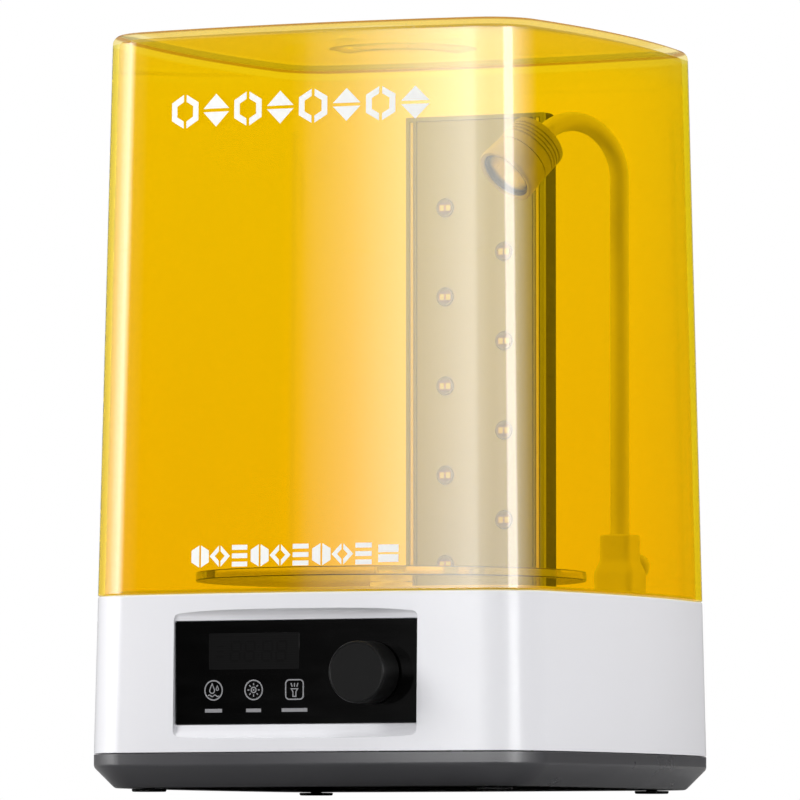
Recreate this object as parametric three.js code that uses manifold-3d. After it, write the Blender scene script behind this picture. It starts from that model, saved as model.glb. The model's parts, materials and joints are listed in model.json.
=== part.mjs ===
// Resin wash and cure station: a bowed square base with a control panel, a turntable, an LED
// pillar, a gooseneck lamp and a tall amber cover that lifts off. Millimetres, +Z up, front is -Y.
// The origin is at the centre of the bounding box, on the surface that the feet stand on.

import * as THREE from 'three';
import { mergeVertices } from 'three/addons/utils/BufferGeometryUtils.js';
import Module from 'manifold-3d';

const wasm = await Module();
wasm.setup();

// ---- Driving dimensions ----

const GAP = 0.3;              // clearance left between pieces that touch
const HALF_TURN = Math.PI;

const HALF_WIDTH = 112.5;     // half of the base across its widest place, the seam
const HALF_DEPTH = 111.2;
const BOW = 10;               // how far a side's middle stands out from its ends
const CORNER_RADIUS = 27;
const DRAFT = 0.056 / 300;    // share of the width lost per millimetre of height above the seam

const TRAY_Z = 1.5;           // underside of the dark tray
const CREASE_Z = 10.5;        // top of the tray's chamfer
const SEAM_Z = 16.2;          // tray below, white shell above
const SEAT_Z = 83.1;          // ledge that the cover stands on
const TOP_Z = 323.6;          // top of the cover
const RIM_Z = 85.2;           // top of the rim that locates the cover
const DECK_Z = 82;            // floor of the deck inside the rim
const CEILING_Z = 77;         // underside of the deck

const SHELL_WALL = 3;
const COVER_WALL = 2.8;
const RIM_INSET = 4;

const PANEL = { halfWidth: 56.5, low: 28, high: 71.5, y: -106, thickness: 2 };
const PANEL_WINDOW = { half: 49, low: 33, high: 68 };   // opening in the shell behind the panel
const KNOB = { x: 35.2, z: 49, radius: 13.3, front: 15.2, back: 1.2, hole: 3.9 };
const DISPLAY = { x: -19.5, z: 58.7, width: 42, height: 15.2 };

const TURNTABLE = { y: -12, radius: 84, low: 90.5, thickness: 4, hex: 10 };
const DECK_RECESS = { radius: 46, depth: 2 };           // shallow round recess under the turntable
const SPIGOT = { radius: 4, top: 88 };                  // fixed pin that the turntable's hub turns on
const MOTOR_Y = TURNTABLE.y;

const PILLAR = { halfWidth: 33.5, front: 74, back: 87, top: 298.8 };
const LED = { x: 14.2, radius: 3.8, leftLow: 101, rightLow: 120.2, pitch: 39.3, perSide: 5 };

const LAMP = { x: 72, y: 68.5, heading: -119.3, radius: 4.1, bendZ: 200 };
const NECK_ARC = { z: 267, radius: 24.5, tilt: 43 };    // the bow over the top, up to the lamp head
const SOCKET = { half: 7.3, footHalf: 9.3, top: 112.3, screwZ: 99.2 };

const FOOT = { x: 81, y: 82, radius: 7.4 };
const TRAY_SCREW = { x: 84, y: 62 };
const SCREW = { shank: 1.3, hole: 1.6, head: 3, headHole: 3.3 };
const BRACKET_SCREW_X = 31;

const SERVICE = { left: -84, right: -22, low: 33, high: 63, y: 107.6 };   // flat recess on the back
const INLET = { x: -65, z: 48, hole: 6.2 };
const SWITCH = { x: -38, z: 48, halfWidth: 6.7, halfHeight: 10.2 };
const VENT = { left: 22, pitch: 7, count: 8, width: 3, low: 39, high: 57 };

const FRONT_MOST = PANEL.y - KNOB.front;
const FRAME_SHIFT = -(FRONT_MOST + HALF_DEPTH) / 2;    // puts the origin under the bounding box's centre

// ---- Solids: every shape below is a closed mesh, cut and joined by the two functions here ----

function signedVolume(position, index) {
  const a = new THREE.Vector3();
  const b = new THREE.Vector3();
  const c = new THREE.Vector3();
  let sum = 0;
  for (let i = 0; i < index.length; i += 3) {
    a.fromBufferAttribute(position, index[i]);
    b.fromBufferAttribute(position, index[i + 1]);
    c.fromBufferAttribute(position, index[i + 2]);
    sum += a.dot(b.cross(c));
  }
  return sum / 6;
}

// A three.js geometry as a solid, with its faces turned outwards.
function solid(geometry) {
  const bare = geometry.clone();
  bare.deleteAttribute('normal');
  bare.deleteAttribute('uv');
  const merged = mergeVertices(bare, 1e-4);
  const position = merged.getAttribute('position');
  const triVerts = new Uint32Array(merged.index.array);
  if (signedVolume(position, triVerts) < 0) {
    triVerts.reverse();
  }
  const vertProperties = new Float32Array(position.array);
  return new wasm.Manifold(new wasm.Mesh({ numProp: 3, vertProperties, triVerts }));
}

function geometryOf(body) {
  const mesh = body.getMesh();
  const geometry = new THREE.BufferGeometry();
  geometry.setAttribute('position', new THREE.BufferAttribute(mesh.vertProperties, 3));
  geometry.setIndex(new THREE.BufferAttribute(mesh.triVerts, 1));
  geometry.computeVertexNormals();
  return geometry;
}

function join(first, ...others) {
  return others.reduce((sum, other) => sum.add(other), first);
}

function cut(first, ...others) {
  return others.reduce((rest, other) => rest.subtract(other), first);
}

function block([x0, y0, z0], [x1, y1, z1]) {
  const geometry = new THREE.BoxGeometry(x1 - x0, y1 - y0, z1 - z0);
  geometry.translate((x0 + x1) / 2, (y0 + y1) / 2, (z0 + z1) / 2);
  return solid(geometry);
}

// An upright round rod.
function rod(x, y, z0, z1, radius, sides = 16) {
  const geometry = new THREE.CylinderGeometry(radius, radius, z1 - z0, sides);
  geometry.rotateX(HALF_TURN / 2);
  geometry.translate(x, y, (z0 + z1) / 2);
  return solid(geometry);
}

// A profile of [radius, height] points, turned about the Z axis.
function turned(profile, sides = 20) {
  const points = profile.map(([radius, height]) => new THREE.Vector2(radius, height));
  const geometry = new THREE.LatheGeometry(points, sides);
  geometry.rotateX(HALF_TURN / 2);
  return solid(geometry);
}

// Points [radius, height] on a circle arc about a centre on the axis or off it, angles in degrees.
function arcProfile(centreR, centreH, radius, from, to, steps) {
  const points = [];
  for (let i = 0; i <= steps; i++) {
    const angle = THREE.MathUtils.degToRad(from + ((to - from) * i) / steps);
    points.push([centreR + radius * Math.cos(angle), centreH + radius * Math.sin(angle)]);
  }
  return points;
}

// A closed skin over convex rings of points, one ring after another, with both ends filled in.
function loft(rings) {
  const sides = rings[0].length;
  const vertices = rings.flat();
  const index = [];
  for (let level = 0; level + 1 < rings.length; level++) {
    for (let i = 0; i < sides; i++) {
      const a = level * sides + i;
      const b = level * sides + ((i + 1) % sides);
      index.push(a, b, b + sides, a, b + sides, a + sides);
    }
  }
  for (const level of [0, rings.length - 1]) {
    const centre = new THREE.Vector3();
    rings[level].forEach((point) => centre.addScaledVector(point, 1 / sides));
    const hub = vertices.length;
    vertices.push(centre);
    for (let i = 0; i < sides; i++) {
      const a = level * sides + i;
      const b = level * sides + ((i + 1) % sides);
      index.push(...(level === 0 ? [b, a, hub] : [a, b, hub]));
    }
  }
  const geometry = new THREE.BufferGeometry().setFromPoints(vertices);
  geometry.setIndex(index);
  return solid(geometry);
}

function roundedRectangle(width, height, radius) {
  const x = width / 2;
  const y = height / 2;
  const shape = new THREE.Shape();
  shape.absarc(x - radius, y - radius, radius, 0, HALF_TURN / 2);
  shape.absarc(-x + radius, y - radius, radius, HALF_TURN / 2, HALF_TURN);
  shape.absarc(-x + radius, -y + radius, radius, HALF_TURN, 1.5 * HALF_TURN);
  shape.absarc(x - radius, -y + radius, radius, 1.5 * HALF_TURN, 2 * HALF_TURN);
  return shape;
}

// A flat plate with rounded corners, standing on the XY plane from z0 up to z1.
function plate(x, y, width, height, z0, z1, radius) {
  const geometry = new THREE.ExtrudeGeometry(roundedRectangle(width, height, radius), {
    depth: z1 - z0,
    bevelEnabled: false,
    curveSegments: 2,
  });
  geometry.translate(x, y, z0);
  return solid(geometry);
}

// ---- The bowed square outline ----

function arcPoints(centreX, centreY, radius, from, to, steps) {
  const points = [];
  for (let i = 0; i < steps; i++) {
    const angle = from + ((to - from) * i) / steps;
    points.push([centreX + radius * Math.cos(angle), centreY + radius * Math.sin(angle)]);
  }
  return points;
}

// Centre and radius of the arcs on the right side and on the back, and of the corner between them.
function outlineArcs() {
  const rightRadius = ((HALF_DEPTH - BOW) ** 2 + BOW ** 2) / (2 * BOW);
  const backRadius = ((HALF_WIDTH - BOW) ** 2 + BOW ** 2) / (2 * BOW);
  const rightX = HALF_WIDTH - rightRadius;
  const backY = HALF_DEPTH - backRadius;
  const reachRight = rightRadius - CORNER_RADIUS;
  const reachBack = backRadius - CORNER_RADIUS;
  const span = Math.hypot(rightX, backY);
  const along = (reachRight ** 2 - reachBack ** 2 + span ** 2) / (2 * span);
  const across = Math.sqrt(reachRight ** 2 - along ** 2);
  const unit = [-rightX / span, backY / span];
  const cornerX = rightX + along * unit[0] - across * unit[1];
  const cornerY = along * unit[1] + across * unit[0];
  return { rightRadius, backRadius, rightX, backY, cornerX, cornerY };
}

const ARCS = outlineArcs();

// The outline, moved inwards by inset, as points anticlockwise from the right side.
function outline(inset) {
  const { rightRadius, backRadius, rightX, backY, cornerX, cornerY } = ARCS;
  const a = Math.atan2(cornerY, cornerX - rightX);
  const b = Math.atan2(cornerY - backY, cornerX);
  const right = rightRadius - inset;
  const back = backRadius - inset;
  const corner = CORNER_RADIUS - inset;
  const sideSteps = 6;
  const cornerSteps = 5;
  return [
    ...arcPoints(rightX, 0, right, -a, a, sideSteps),
    ...arcPoints(cornerX, cornerY, corner, a, b, cornerSteps),
    ...arcPoints(0, backY, back, b, HALF_TURN - b, sideSteps),
    ...arcPoints(-cornerX, cornerY, corner, HALF_TURN - b, HALF_TURN - a, cornerSteps),
    ...arcPoints(-rightX, 0, right, HALF_TURN - a, HALF_TURN + a, sideSteps),
    ...arcPoints(-cornerX, -cornerY, corner, HALF_TURN + a, HALF_TURN + b, cornerSteps),
    ...arcPoints(0, -backY, back, HALF_TURN + b, 2 * HALF_TURN - b, sideSteps),
    ...arcPoints(cornerX, -cornerY, corner, 2 * HALF_TURN - b, 2 * HALF_TURN - a, cornerSteps),
  ];
}

// A solid through the outline at several levels, [height, inset], narrowing with the draft.
function drafted(levels) {
  return loft(levels.map(([z, inset]) => {
    const scale = 1 - DRAFT * Math.max(0, z - SEAM_Z);
    return outline(inset).map(([x, y]) => new THREE.Vector3(x * scale, y * scale, z));
  }));
}

// ---- The base ----

function bottomTray() {
  const floorZ = TRAY_Z + 3;
  const chamfer = CREASE_Z - TRAY_Z;
  const outside = drafted([[TRAY_Z, chamfer], [CREASE_Z, 0], [SEAM_Z - GAP, 0]]);
  const inside = drafted([[floorZ, chamfer + 2], [CREASE_Z + 1, SHELL_WALL], [SEAM_Z + 1, SHELL_WALL]]);
  let tray = cut(outside, inside);
  for (const [x, y] of boardCorners()) {
    tray = tray.add(rod(x, y, TRAY_Z + 1, BOARD.z - GAP, SCREW.head, 12));
  }
  for (const side of [-1, 1]) {
    for (const end of [-1, 1]) {
      tray = cut(
        tray,
        rod(side * FOOT.x, end * FOOT.y, 0, floorZ + 1, FOOT_STEM + GAP, 12),
        rod(side * TRAY_SCREW.x, end * TRAY_SCREW.y, 0, floorZ + 1, SCREW.hole, 12),
        rod(side * TRAY_SCREW.x, end * TRAY_SCREW.y, 0, TRAY_Z + 1.8, SCREW.headHole, 12),
      );
    }
  }
  return tray;
}

const FOOT_STEM = 2.4;

// A push-in rubber foot: a disc under the tray and a barbed stem through its floor.
function foot() {
  const discTop = TRAY_Z - GAP;
  const floorTop = TRAY_Z + 3 + GAP;
  return turned([
    [0, 0],
    [FOOT.radius - 0.6, 0],
    [FOOT.radius, 0.6],
    [FOOT.radius, discTop],
    [FOOT_STEM, discTop],
    [FOOT_STEM, floorTop],
    [FOOT_STEM + 1.2, floorTop],
    [FOOT_STEM - 0.6, floorTop + 2.2],
    [0, floorTop + 2.2],
  ], 16);
}

function screw(headLow, headHigh, tip) {
  return turned([
    [0, headLow],
    [SCREW.head, headLow],
    [SCREW.head, headHigh],
    [SCREW.shank, headHigh],
    [SCREW.shank, tip - 1],
    [0, tip],
  ], 12);
}

// The scooped pocket that holds the panel: its lips flare outwards above and below the panel.
function panelPocket() {
  const floorY = PANEL.y + PANEL.thickness + GAP;
  const topFlare = 4.6;
  const bottomFlare = 5.8;
  const depth = 4.6;
  const steps = 5;
  const rings = [pocketRing(floorY, 0, 0)];
  for (let i = 0; i <= steps; i++) {
    const share = i / steps;
    const rise = Math.sqrt(1 - (1 - share) ** 2);
    rings.push(pocketRing(PANEL.y - depth * share, bottomFlare * rise, topFlare * rise));
  }
  rings.push(pocketRing(-HALF_DEPTH - 2, bottomFlare, topFlare));
  return loft(rings);
}

function pocketRing(y, down, up) {
  const low = PANEL.low - GAP - down;
  const high = PANEL.high + GAP + up;
  const shape = roundedRectangle(2 * (PANEL.halfWidth + GAP), high - low, 1 + 0.4 * up);
  const points = shape.getPoints(2).slice(0, -1);
  return points.map((point) => new THREE.Vector3(point.x, y, point.y + (low + high) / 2));
}

function baseShell() {
  const edge = 0.6;
  const outside = drafted([
    [SEAM_Z, 0],
    [SEAT_Z - edge, 0],
    [SEAT_Z, edge],
    [SEAT_Z, RIM_INSET],
    [RIM_Z, RIM_INSET],
  ]);
  const cavity = drafted([[SEAM_Z - 1, SHELL_WALL], [CEILING_Z, SHELL_WALL]]);
  const dish = drafted([[DECK_Z, RIM_INSET + 3], [RIM_Z + 1, RIM_INSET + 3]]);
  const frontBoss = block(
    [-PANEL.halfWidth - 4.5, -HALF_DEPTH, PANEL.low - 9],
    [PANEL.halfWidth + 4.5, PANEL.y + 5, CEILING_Z + 1],
  ).intersect(outside);
  const backBoss = block(
    [SERVICE.left - 3, SERVICE.y - 3.6, SERVICE.low - 3],
    [SERVICE.right + 3, HALF_DEPTH, SERVICE.high + 3],
  ).intersect(outside);
  const recess = rod(0, TURNTABLE.y, DECK_Z - DECK_RECESS.depth, RIM_Z, DECK_RECESS.radius, 32);
  let shell = join(cut(outside, cavity, dish, recess), frontBoss, backBoss);
  shell = join(shell, rod(0, TURNTABLE.y, CEILING_Z, SPIGOT.top, SPIGOT.radius));
  const window = block(
    [-PANEL_WINDOW.half, PANEL.y - 2, PANEL_WINDOW.low],
    [PANEL_WINDOW.half, PANEL.y + 6, PANEL_WINDOW.high],
  );
  shell = cut(shell, panelPocket(), window);
  shell = addScrewPosts(shell);
  return cut(shell, ...deckHoles(), ...backCuts());
}

function addScrewPosts(shell) {
  let result = shell;
  for (const side of [-1, 1]) {
    for (const end of [-1, 1]) {
      const x = side * TRAY_SCREW.x;
      const y = end * TRAY_SCREW.y;
      result = result.add(rod(x, y, TRAY_Z + 3 + GAP, CEILING_Z + 1, 4, 16));
      result = result.subtract(rod(x, y, TRAY_Z, SEAM_Z + 2, SCREW.hole, 12));
    }
    const x = side * BRACKET_SCREW_X;
    result = result.add(rod(x, MOTOR_Y, BRACKET.top + GAP, CEILING_Z + 1, 3.5, 16));
    result = result.subtract(rod(x, MOTOR_Y, BRACKET.low, BRACKET.top + 9, SCREW.hole, 12));
  }
  return result;
}

// Wire holes under the lamp's socket and under the pillar.
function deckHoles() {
  const holeRadius = 3;
  return [LAMP, LED_LEAD].map(({ x, y }) => rod(x, y, CEILING_Z - 1, DECK_Z + 1, holeRadius, 12));
}

// The flat service recess on the back, its two cut-outs, and a row of vent slots beside it.
function backCuts() {
  const outsideY = HALF_DEPTH + 3;
  const insideY = 100;
  const cuts = [
    block([SERVICE.left, SERVICE.y, SERVICE.low], [SERVICE.right, outsideY, SERVICE.high]),
    block(
      [SWITCH.x - SWITCH.halfWidth - GAP, insideY, SWITCH.z - SWITCH.halfHeight - GAP],
      [SWITCH.x + SWITCH.halfWidth + GAP, outsideY, SWITCH.z + SWITCH.halfHeight + GAP],
    ),
  ];
  const inletHole = new THREE.CylinderGeometry(INLET.hole, INLET.hole, outsideY - insideY, 20);
  inletHole.translate(INLET.x, (outsideY + insideY) / 2, INLET.z);
  cuts.push(solid(inletHole));
  for (let slot = 0; slot < VENT.count; slot++) {
    const x = VENT.left + slot * VENT.pitch;
    cuts.push(block([x, insideY, VENT.low], [x + VENT.width, outsideY, VENT.high]));
  }
  return cuts;
}

// ---- The control panel, drawn in X and Z, with the third axis pointing out of its face ----

function controlPanel() {
  const height = PANEL.high - PANEL.low;
  const middle = (PANEL.high + PANEL.low) / 2;
  const face = plate(0, middle, 2 * PANEL.halfWidth, height, -PANEL.thickness, 0, 0.8);
  return face.subtract(rod(KNOB.x, KNOB.z, -5, 5, KNOB.hole));
}

const PANEL_BOARD = { front: -9.6, thickness: 1.6, z: 49.75, width: 94, height: 30 };
const PANEL_PLUG = { x: -30, z: 47, halfWidth: 6, halfHeight: 3 };
const ENCODER = { half: 6.2, bore: 3.3, bushing: 3.6 };

function displayModule() {
  const back = PANEL_BOARD.front + GAP;
  return plate(DISPLAY.x, DISPLAY.z, DISPLAY.width, DISPLAY.height, back, -PANEL.thickness - GAP, 0.5);
}

function panelBoard() {
  const { front, thickness, z, width, height } = PANEL_BOARD;
  const board = plate(0, z, width, height, front - thickness, front, 1.5);
  const plug = block(
    [PANEL_PLUG.x - PANEL_PLUG.halfWidth, PANEL_PLUG.z - PANEL_PLUG.halfHeight, front - 6],
    [PANEL_PLUG.x + PANEL_PLUG.halfWidth, PANEL_PLUG.z + PANEL_PLUG.halfHeight, front - 1],
  );
  return join(board, plug);
}

// A push encoder: a square body, and a bushing level with the panel's face, so that the knob clears
// it when it is pressed. Both are bored for the plunger and the shaft.
function encoderBody() {
  const { half, bore, bushing } = ENCODER;
  const low = PANEL_BOARD.front + GAP;
  const body = block([-half, -half, low], [half, half, -3]);
  return cut(join(body, rod(0, 0, -4, 0, bushing)), rod(0, 0, low + 1.2, 5, bore));
}

const PLUNGER = { low: -6.4, top: -5.2 };

function encoderPlunger() {
  const { low, top } = PLUNGER;
  return turned([[0, low], [2.6, low], [3, low + 0.4], [3, top], [0, top]]);
}

function encoderShaft() {
  const top = KNOB.front - 2.2;
  return turned([[0, PLUNGER.top + GAP], [3, PLUNGER.top + GAP], [3, top - 0.5], [2.5, top], [0, top]]);
}

// A round knob with a fine chamfered rim, a grip that narrows slightly and a hollow back.
function controlKnob() {
  const { radius, front, back } = KNOB;
  return turned([
    [3.3, back],
    [5.5, back],
    [5.5, back + 6],
    [radius - 2, back + 6],
    [radius - 2, back],
    [radius, back],
    [radius - 0.3, front - 0.6],
    [radius - 0.9, front],
    [0, front],
    [0, front - 2],
    [3.3, front - 2],
    [3.3, back],
  ], 32);
}

// ---- Boards, motor and magnetic drive inside the base ----

const BOARD = { left: -50, right: 50, front: 25, back: 85, z: 14, thickness: 1.6 };

function boardCorners() {
  const margin = 5;
  const corners = [];
  for (const x of [BOARD.left + margin, BOARD.right - margin]) {
    for (const y of [BOARD.front + margin, BOARD.back - margin]) {
      corners.push([x, y]);
    }
  }
  return corners;
}

// The plugs on the main board, one for each lead.
const CONNECTOR = { top: 23, half: 4.5 };
const LED_LEAD = { x: 20, y: 78 };
const PLUGS = {
  panel: { x: -38, y: 30 },
  motor: { x: 0, y: 30 },
  led: LED_LEAD,
  inlet: { x: -40, y: 74 },
  switch: { x: -26, y: 74 },
};

// The main board, with its plugs, two capacitors and a heat sink.
function mainBoard() {
  const top = BOARD.z + BOARD.thickness;
  let board = block([BOARD.left, BOARD.front, BOARD.z], [BOARD.right, BOARD.back, top]);
  for (const { x, y } of Object.values(PLUGS)) {
    const half = CONNECTOR.half;
    board = board.add(block([x - half, y - half, top - 0.5], [x + half, y + half, CONNECTOR.top]));
  }
  for (const x of [-20, -8]) {
    board = board.add(rod(x, 55, top - 0.5, top + 13, 5, 16));
  }
  return board.add(block([8, 44, top - 0.5], [30, 60, top + 9]));
}

const MOTOR = { radius: 17, gearRadius: 18.5, low: 28, canTop: 52, top: 60, bossTop: 63.2 };
const SHAFT_RADIUS = 2.5;
const BRACKET = { low: 60.3, top: 62.3 };
const ROTOR = { radius: 25, low: 68, top: 74, magnetX: 16, magnetRadius: 5, pocketZ: 69.7 };

function driveMotor() {
  const bore = SHAFT_RADIUS + GAP;
  return turned([
    [0, MOTOR.low],
    [MOTOR.radius, MOTOR.low],
    [MOTOR.radius, MOTOR.canTop],
    [MOTOR.gearRadius, MOTOR.canTop],
    [MOTOR.gearRadius, MOTOR.top],
    [5, MOTOR.top],
    [5, MOTOR.bossTop],
    [bore, MOTOR.bossTop],
    [bore, MOTOR.top - 3],
    [0, MOTOR.top - 3],
  ]);
}

function motorBracket() {
  let bracket = plate(0, 0, 2 * BRACKET_SCREW_X + 10, 22, BRACKET.low, BRACKET.top, 3);
  bracket = cut(bracket, rod(0, 0, BRACKET.low - 1, BRACKET.top + 1, 5.4));
  for (const side of [-1, 1]) {
    const hole = rod(side * BRACKET_SCREW_X, 0, BRACKET.low - 1, BRACKET.top + 1, SCREW.hole, 12);
    bracket = cut(bracket, hole);
  }
  return bracket;
}

function driveRotor() {
  let rotor = rod(0, 0, ROTOR.low, ROTOR.top, ROTOR.radius, 32);
  rotor = cut(rotor, rod(0, 0, ROTOR.low - 1, ROTOR.top + 1, SHAFT_RADIUS + GAP));
  for (const side of [-1, 1]) {
    const x = side * ROTOR.magnetX;
    rotor = cut(rotor, rod(x, 0, ROTOR.pocketZ, ROTOR.top + 1, ROTOR.magnetRadius + GAP, 16));
  }
  return rotor;
}

// ---- The turntable ----

// The driven hub turns on the deck's spigot, and its hexagonal stub carries the clear disc.
function turntableHub() {
  const flangeLow = DECK_Z - 2 + GAP;
  const shoulder = TURNTABLE.low - GAP;
  const bore = SPIGOT.radius + GAP;
  const hub = turned([
    [bore, flangeLow],
    [22, flangeLow],
    [22, flangeLow + 3],
    [20, flangeLow + 4],
    [10, flangeLow + 4],
    [9, flangeLow + 5],
    [9, shoulder],
    [0, shoulder],
    [0, SPIGOT.top + GAP],
    [bore, SPIGOT.top + GAP],
    [bore, flangeLow],
  ]);
  const stub = rod(0, 0, shoulder - 1, TURNTABLE.low + TURNTABLE.thickness - 0.5, TURNTABLE.hex / 2, 6);
  return join(hub, stub);
}

function turntableDisc() {
  const { low, thickness, radius, hex } = TURNTABLE;
  const bevel = 0.6;
  const disc = turned([
    [0, low],
    [radius - bevel, low],
    [radius, low + bevel],
    [radius, low + thickness - bevel],
    [radius - bevel, low + thickness],
    [0, low + thickness],
  ], 48);
  return cut(disc, rod(0, 0, low - 1, low + thickness + 1, hex / 2 + GAP, 6));
}

// ---- The cover ----

// A tall amber shell, open below, with a rounded top edge and a shallow round dimple in its top.
function coverShell() {
  const edge = 4;
  const dimple = { radius: 27, depth: 1.4 };
  const innerTop = TOP_Z - COVER_WALL;
  const outside = drafted([
    [SEAT_Z + GAP, 0],
    ...arcProfile(edge, TOP_Z - edge, edge, 180, 90, 4).map(([inset, z]) => [z, inset]),
  ]);
  const innerEdge = edge - 1.5;
  const innerProfile = arcProfile(COVER_WALL + innerEdge, innerTop - innerEdge, innerEdge, 180, 90, 3);
  const inside = drafted([
    [SEAT_Z - 1, COVER_WALL],
    ...innerProfile.map(([inset, z]) => [z, inset]),
  ]);
  const dish = rod(0, 0, TOP_Z - dimple.depth, TOP_Z + 1, dimple.radius, 32);
  const boss = rod(0, 0, innerTop - dimple.depth, innerTop + 1, dimple.radius + COVER_WALL, 32);
  return cut(join(cut(outside, inside), boss), dish);
}

// ---- The LED pillar ----

const PLATE = { halfWidth: 28, low: 84.3, top: 296.6, front: -0.1, thickness: 2 };
const TRIM = { inner: 29.6, outer: 31.2, depth: 1.2 };
const LED_BASE_Y = PILLAR.front + 4.3;

// A channel: a back, two sides, a top with a rounded back edge, and a stepped front opening.
function pillarHousing() {
  const { halfWidth, front, back, top } = PILLAR;
  const low = DECK_Z + GAP;
  const edge = 5;
  const side = new THREE.Shape();
  side.moveTo(front, low);
  side.lineTo(back, low);
  side.lineTo(back, top - edge);
  side.absarc(back - edge, top - edge, edge, 0, HALF_TURN / 2);
  side.lineTo(front, top);
  const channel = new THREE.ExtrudeGeometry(side, {
    depth: 2 * halfWidth,
    bevelEnabled: false,
    curveSegments: 3,
  });
  channel.rotateX(HALF_TURN / 2);
  channel.rotateZ(HALF_TURN / 2);
  channel.translate(-halfWidth, 0, 0);
  const seat = block(
    [-PLATE.halfWidth - GAP, front - 1, PLATE.low - GAP],
    [PLATE.halfWidth + GAP, front + PLATE.thickness + GAP, PLATE.top + GAP],
  );
  const hollow = block([-27, front, PLATE.low + 2], [27, back - 2.5, PLATE.top - 2]);
  const wireHole = rod(LED_LEAD.x, LED_LEAD.y, low - 1, PLATE.low + 3, 3, 12);
  let housing = cut(solid(channel), seat, hollow, wireHole);
  for (const end of [-1, 1]) {
    const a = end * (TRIM.inner - GAP);
    const b = end * (TRIM.outer + GAP);
    housing = housing.subtract(block(
      [Math.min(a, b), front - 1, PLATE.low - GAP],
      [Math.max(a, b), front + TRIM.depth + GAP, PLATE.top + GAP],
    ));
  }
  return housing;
}

// Heights of the LEDs and the side each is on, from the bottom up: the two columns are staggered.
function ledPlaces() {
  const places = [];
  for (let i = 0; i < LED.perSide; i++) {
    places.push([-LED.x, LED.leftLow + i * LED.pitch]);
    places.push([LED.x, LED.rightLow + i * LED.pitch]);
  }
  return places;
}

function pillarFront() {
  const front = PILLAR.front + PLATE.front;
  let face = block(
    [-PLATE.halfWidth, front, PLATE.low],
    [PLATE.halfWidth, front + PLATE.thickness, PLATE.top],
  );
  for (const [x, z] of ledPlaces()) {
    const hole = new THREE.CylinderGeometry(LED.radius + 0.5, LED.radius + 0.5, 10, 12);
    hole.translate(x, front, z);
    face = face.subtract(solid(hole));
  }
  return face;
}

function pillarTrim(side) {
  const a = side * TRIM.inner;
  const b = side * TRIM.outer;
  return block(
    [Math.min(a, b), PILLAR.front - 0.2, PLATE.low],
    [Math.max(a, b), PILLAR.front + TRIM.depth, PLATE.top],
  );
}

function ledBoard() {
  return block([-25, LED_BASE_Y + GAP, 90], [25, LED_BASE_Y + GAP + 1.6, 292]);
}

// One LED, drawn with its dome pointing up the Z axis.
function led() {
  const bodyTop = 4.4;
  const domeHeight = LED.radius / 2;
  const dome = arcProfile(0, 0, LED.radius, 0, 90, 3).slice(0, -1).map(([r, h]) => [r, bodyTop + h / 2]);
  return turned([[0, 0], [LED.radius, 0], ...dome, [0, bodyTop + domeHeight]], 14);
}

// ---- The gooseneck lamp: in its own frame the neck stands on the Z axis and reaches along +X ----

const BALL = { radius: 3.4, cup: 3.7 };
const NECK_PLUG_Z = 86;      // how deep the neck plugs into its socket

function squareRing(half, z) {
  const points = roundedRectangle(2 * half, 2 * half, 3).getPoints(2).slice(0, -1);
  return points.map((point) => new THREE.Vector3(point.x, point.y, z));
}

// The block on the deck that the neck plugs into, with a flared foot and a hole for the lock screw.
function lampSocket() {
  const { half, footHalf, top, screwZ } = SOCKET;
  const body = loft([
    squareRing(footHalf, DECK_Z + GAP),
    squareRing(footHalf, 96),
    squareRing(half, 101),
    squareRing(half, top - 0.6),
    squareRing(half - 0.6, top),
  ]);
  const screwHole = new THREE.CylinderGeometry(LOCK.shank + GAP, LOCK.shank + GAP, 20, 12);
  screwHole.translate(0, 10, screwZ);
  const plugHole = rod(0, 0, NECK_PLUG_Z, top + 1, LAMP.radius + GAP, 24);
  const wireHole = rod(0, 0, DECK_Z - 1, NECK_PLUG_Z + 1, 2, 12);
  return cut(body, plugHole, wireHole, solid(screwHole));
}

const LOCK = { shank: 2, tip: 4.8, headLow: 16, headHigh: 20.4, headRadius: 5.7 };

// The lock screw, drawn along the Z axis from its tip to its head.
function lockScrew() {
  const { shank, tip, headLow, headHigh, headRadius } = LOCK;
  return turned([
    [0, tip],
    [shank, tip],
    [shank, headLow],
    [headRadius - 0.8, headLow],
    [headRadius, headLow + 0.8],
    [headRadius, headHigh - 0.8],
    [headRadius - 0.8, headHigh],
    [3, headHigh],
    [3, headHigh - 0.8],
    [0, headHigh - 0.8],
  ]);
}

// The straight part of the neck, ending in a small ball that the curved part swings on.
function neckLower() {
  const shoulder = LAMP.bendZ - 1.8;
  const start = THREE.MathUtils.radToDeg(Math.asin(-1.8 / BALL.radius));
  const ball = arcProfile(0, LAMP.bendZ, BALL.radius, start, 90, 6);
  return turned([
    [0, NECK_PLUG_Z + GAP],
    [LAMP.radius - 0.6, NECK_PLUG_Z + GAP],
    [LAMP.radius, NECK_PLUG_Z + 1],
    [LAMP.radius, shoulder],
    ...ball.slice(0, -1),
    [0, LAMP.bendZ + BALL.radius],
  ], 16);
}

// The neck's centre line: straight up, then an arc over the top and down to the lamp head.
class NeckLine extends THREE.Curve {
  constructor(shorten) {
    super();
    this.start = LAMP.bendZ + 0.2;
    this.straight = NECK_ARC.z - this.start;
    this.length = this.straight + arcLength() - shorten;
  }

  getPoint(t) {
    const along = t * this.length;
    if (along <= this.straight) {
      return new THREE.Vector3(0, 0, this.start + along);
    }
    return pointOnArc((along - this.straight) / NECK_ARC.radius);
  }
}

function arcLength() {
  return NECK_ARC.radius * THREE.MathUtils.degToRad(90 + NECK_ARC.tilt);
}

function pointOnArc(angle) {
  const x = NECK_ARC.radius * (1 - Math.cos(angle));
  return new THREE.Vector3(x, 0, NECK_ARC.z + NECK_ARC.radius * Math.sin(angle));
}

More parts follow.
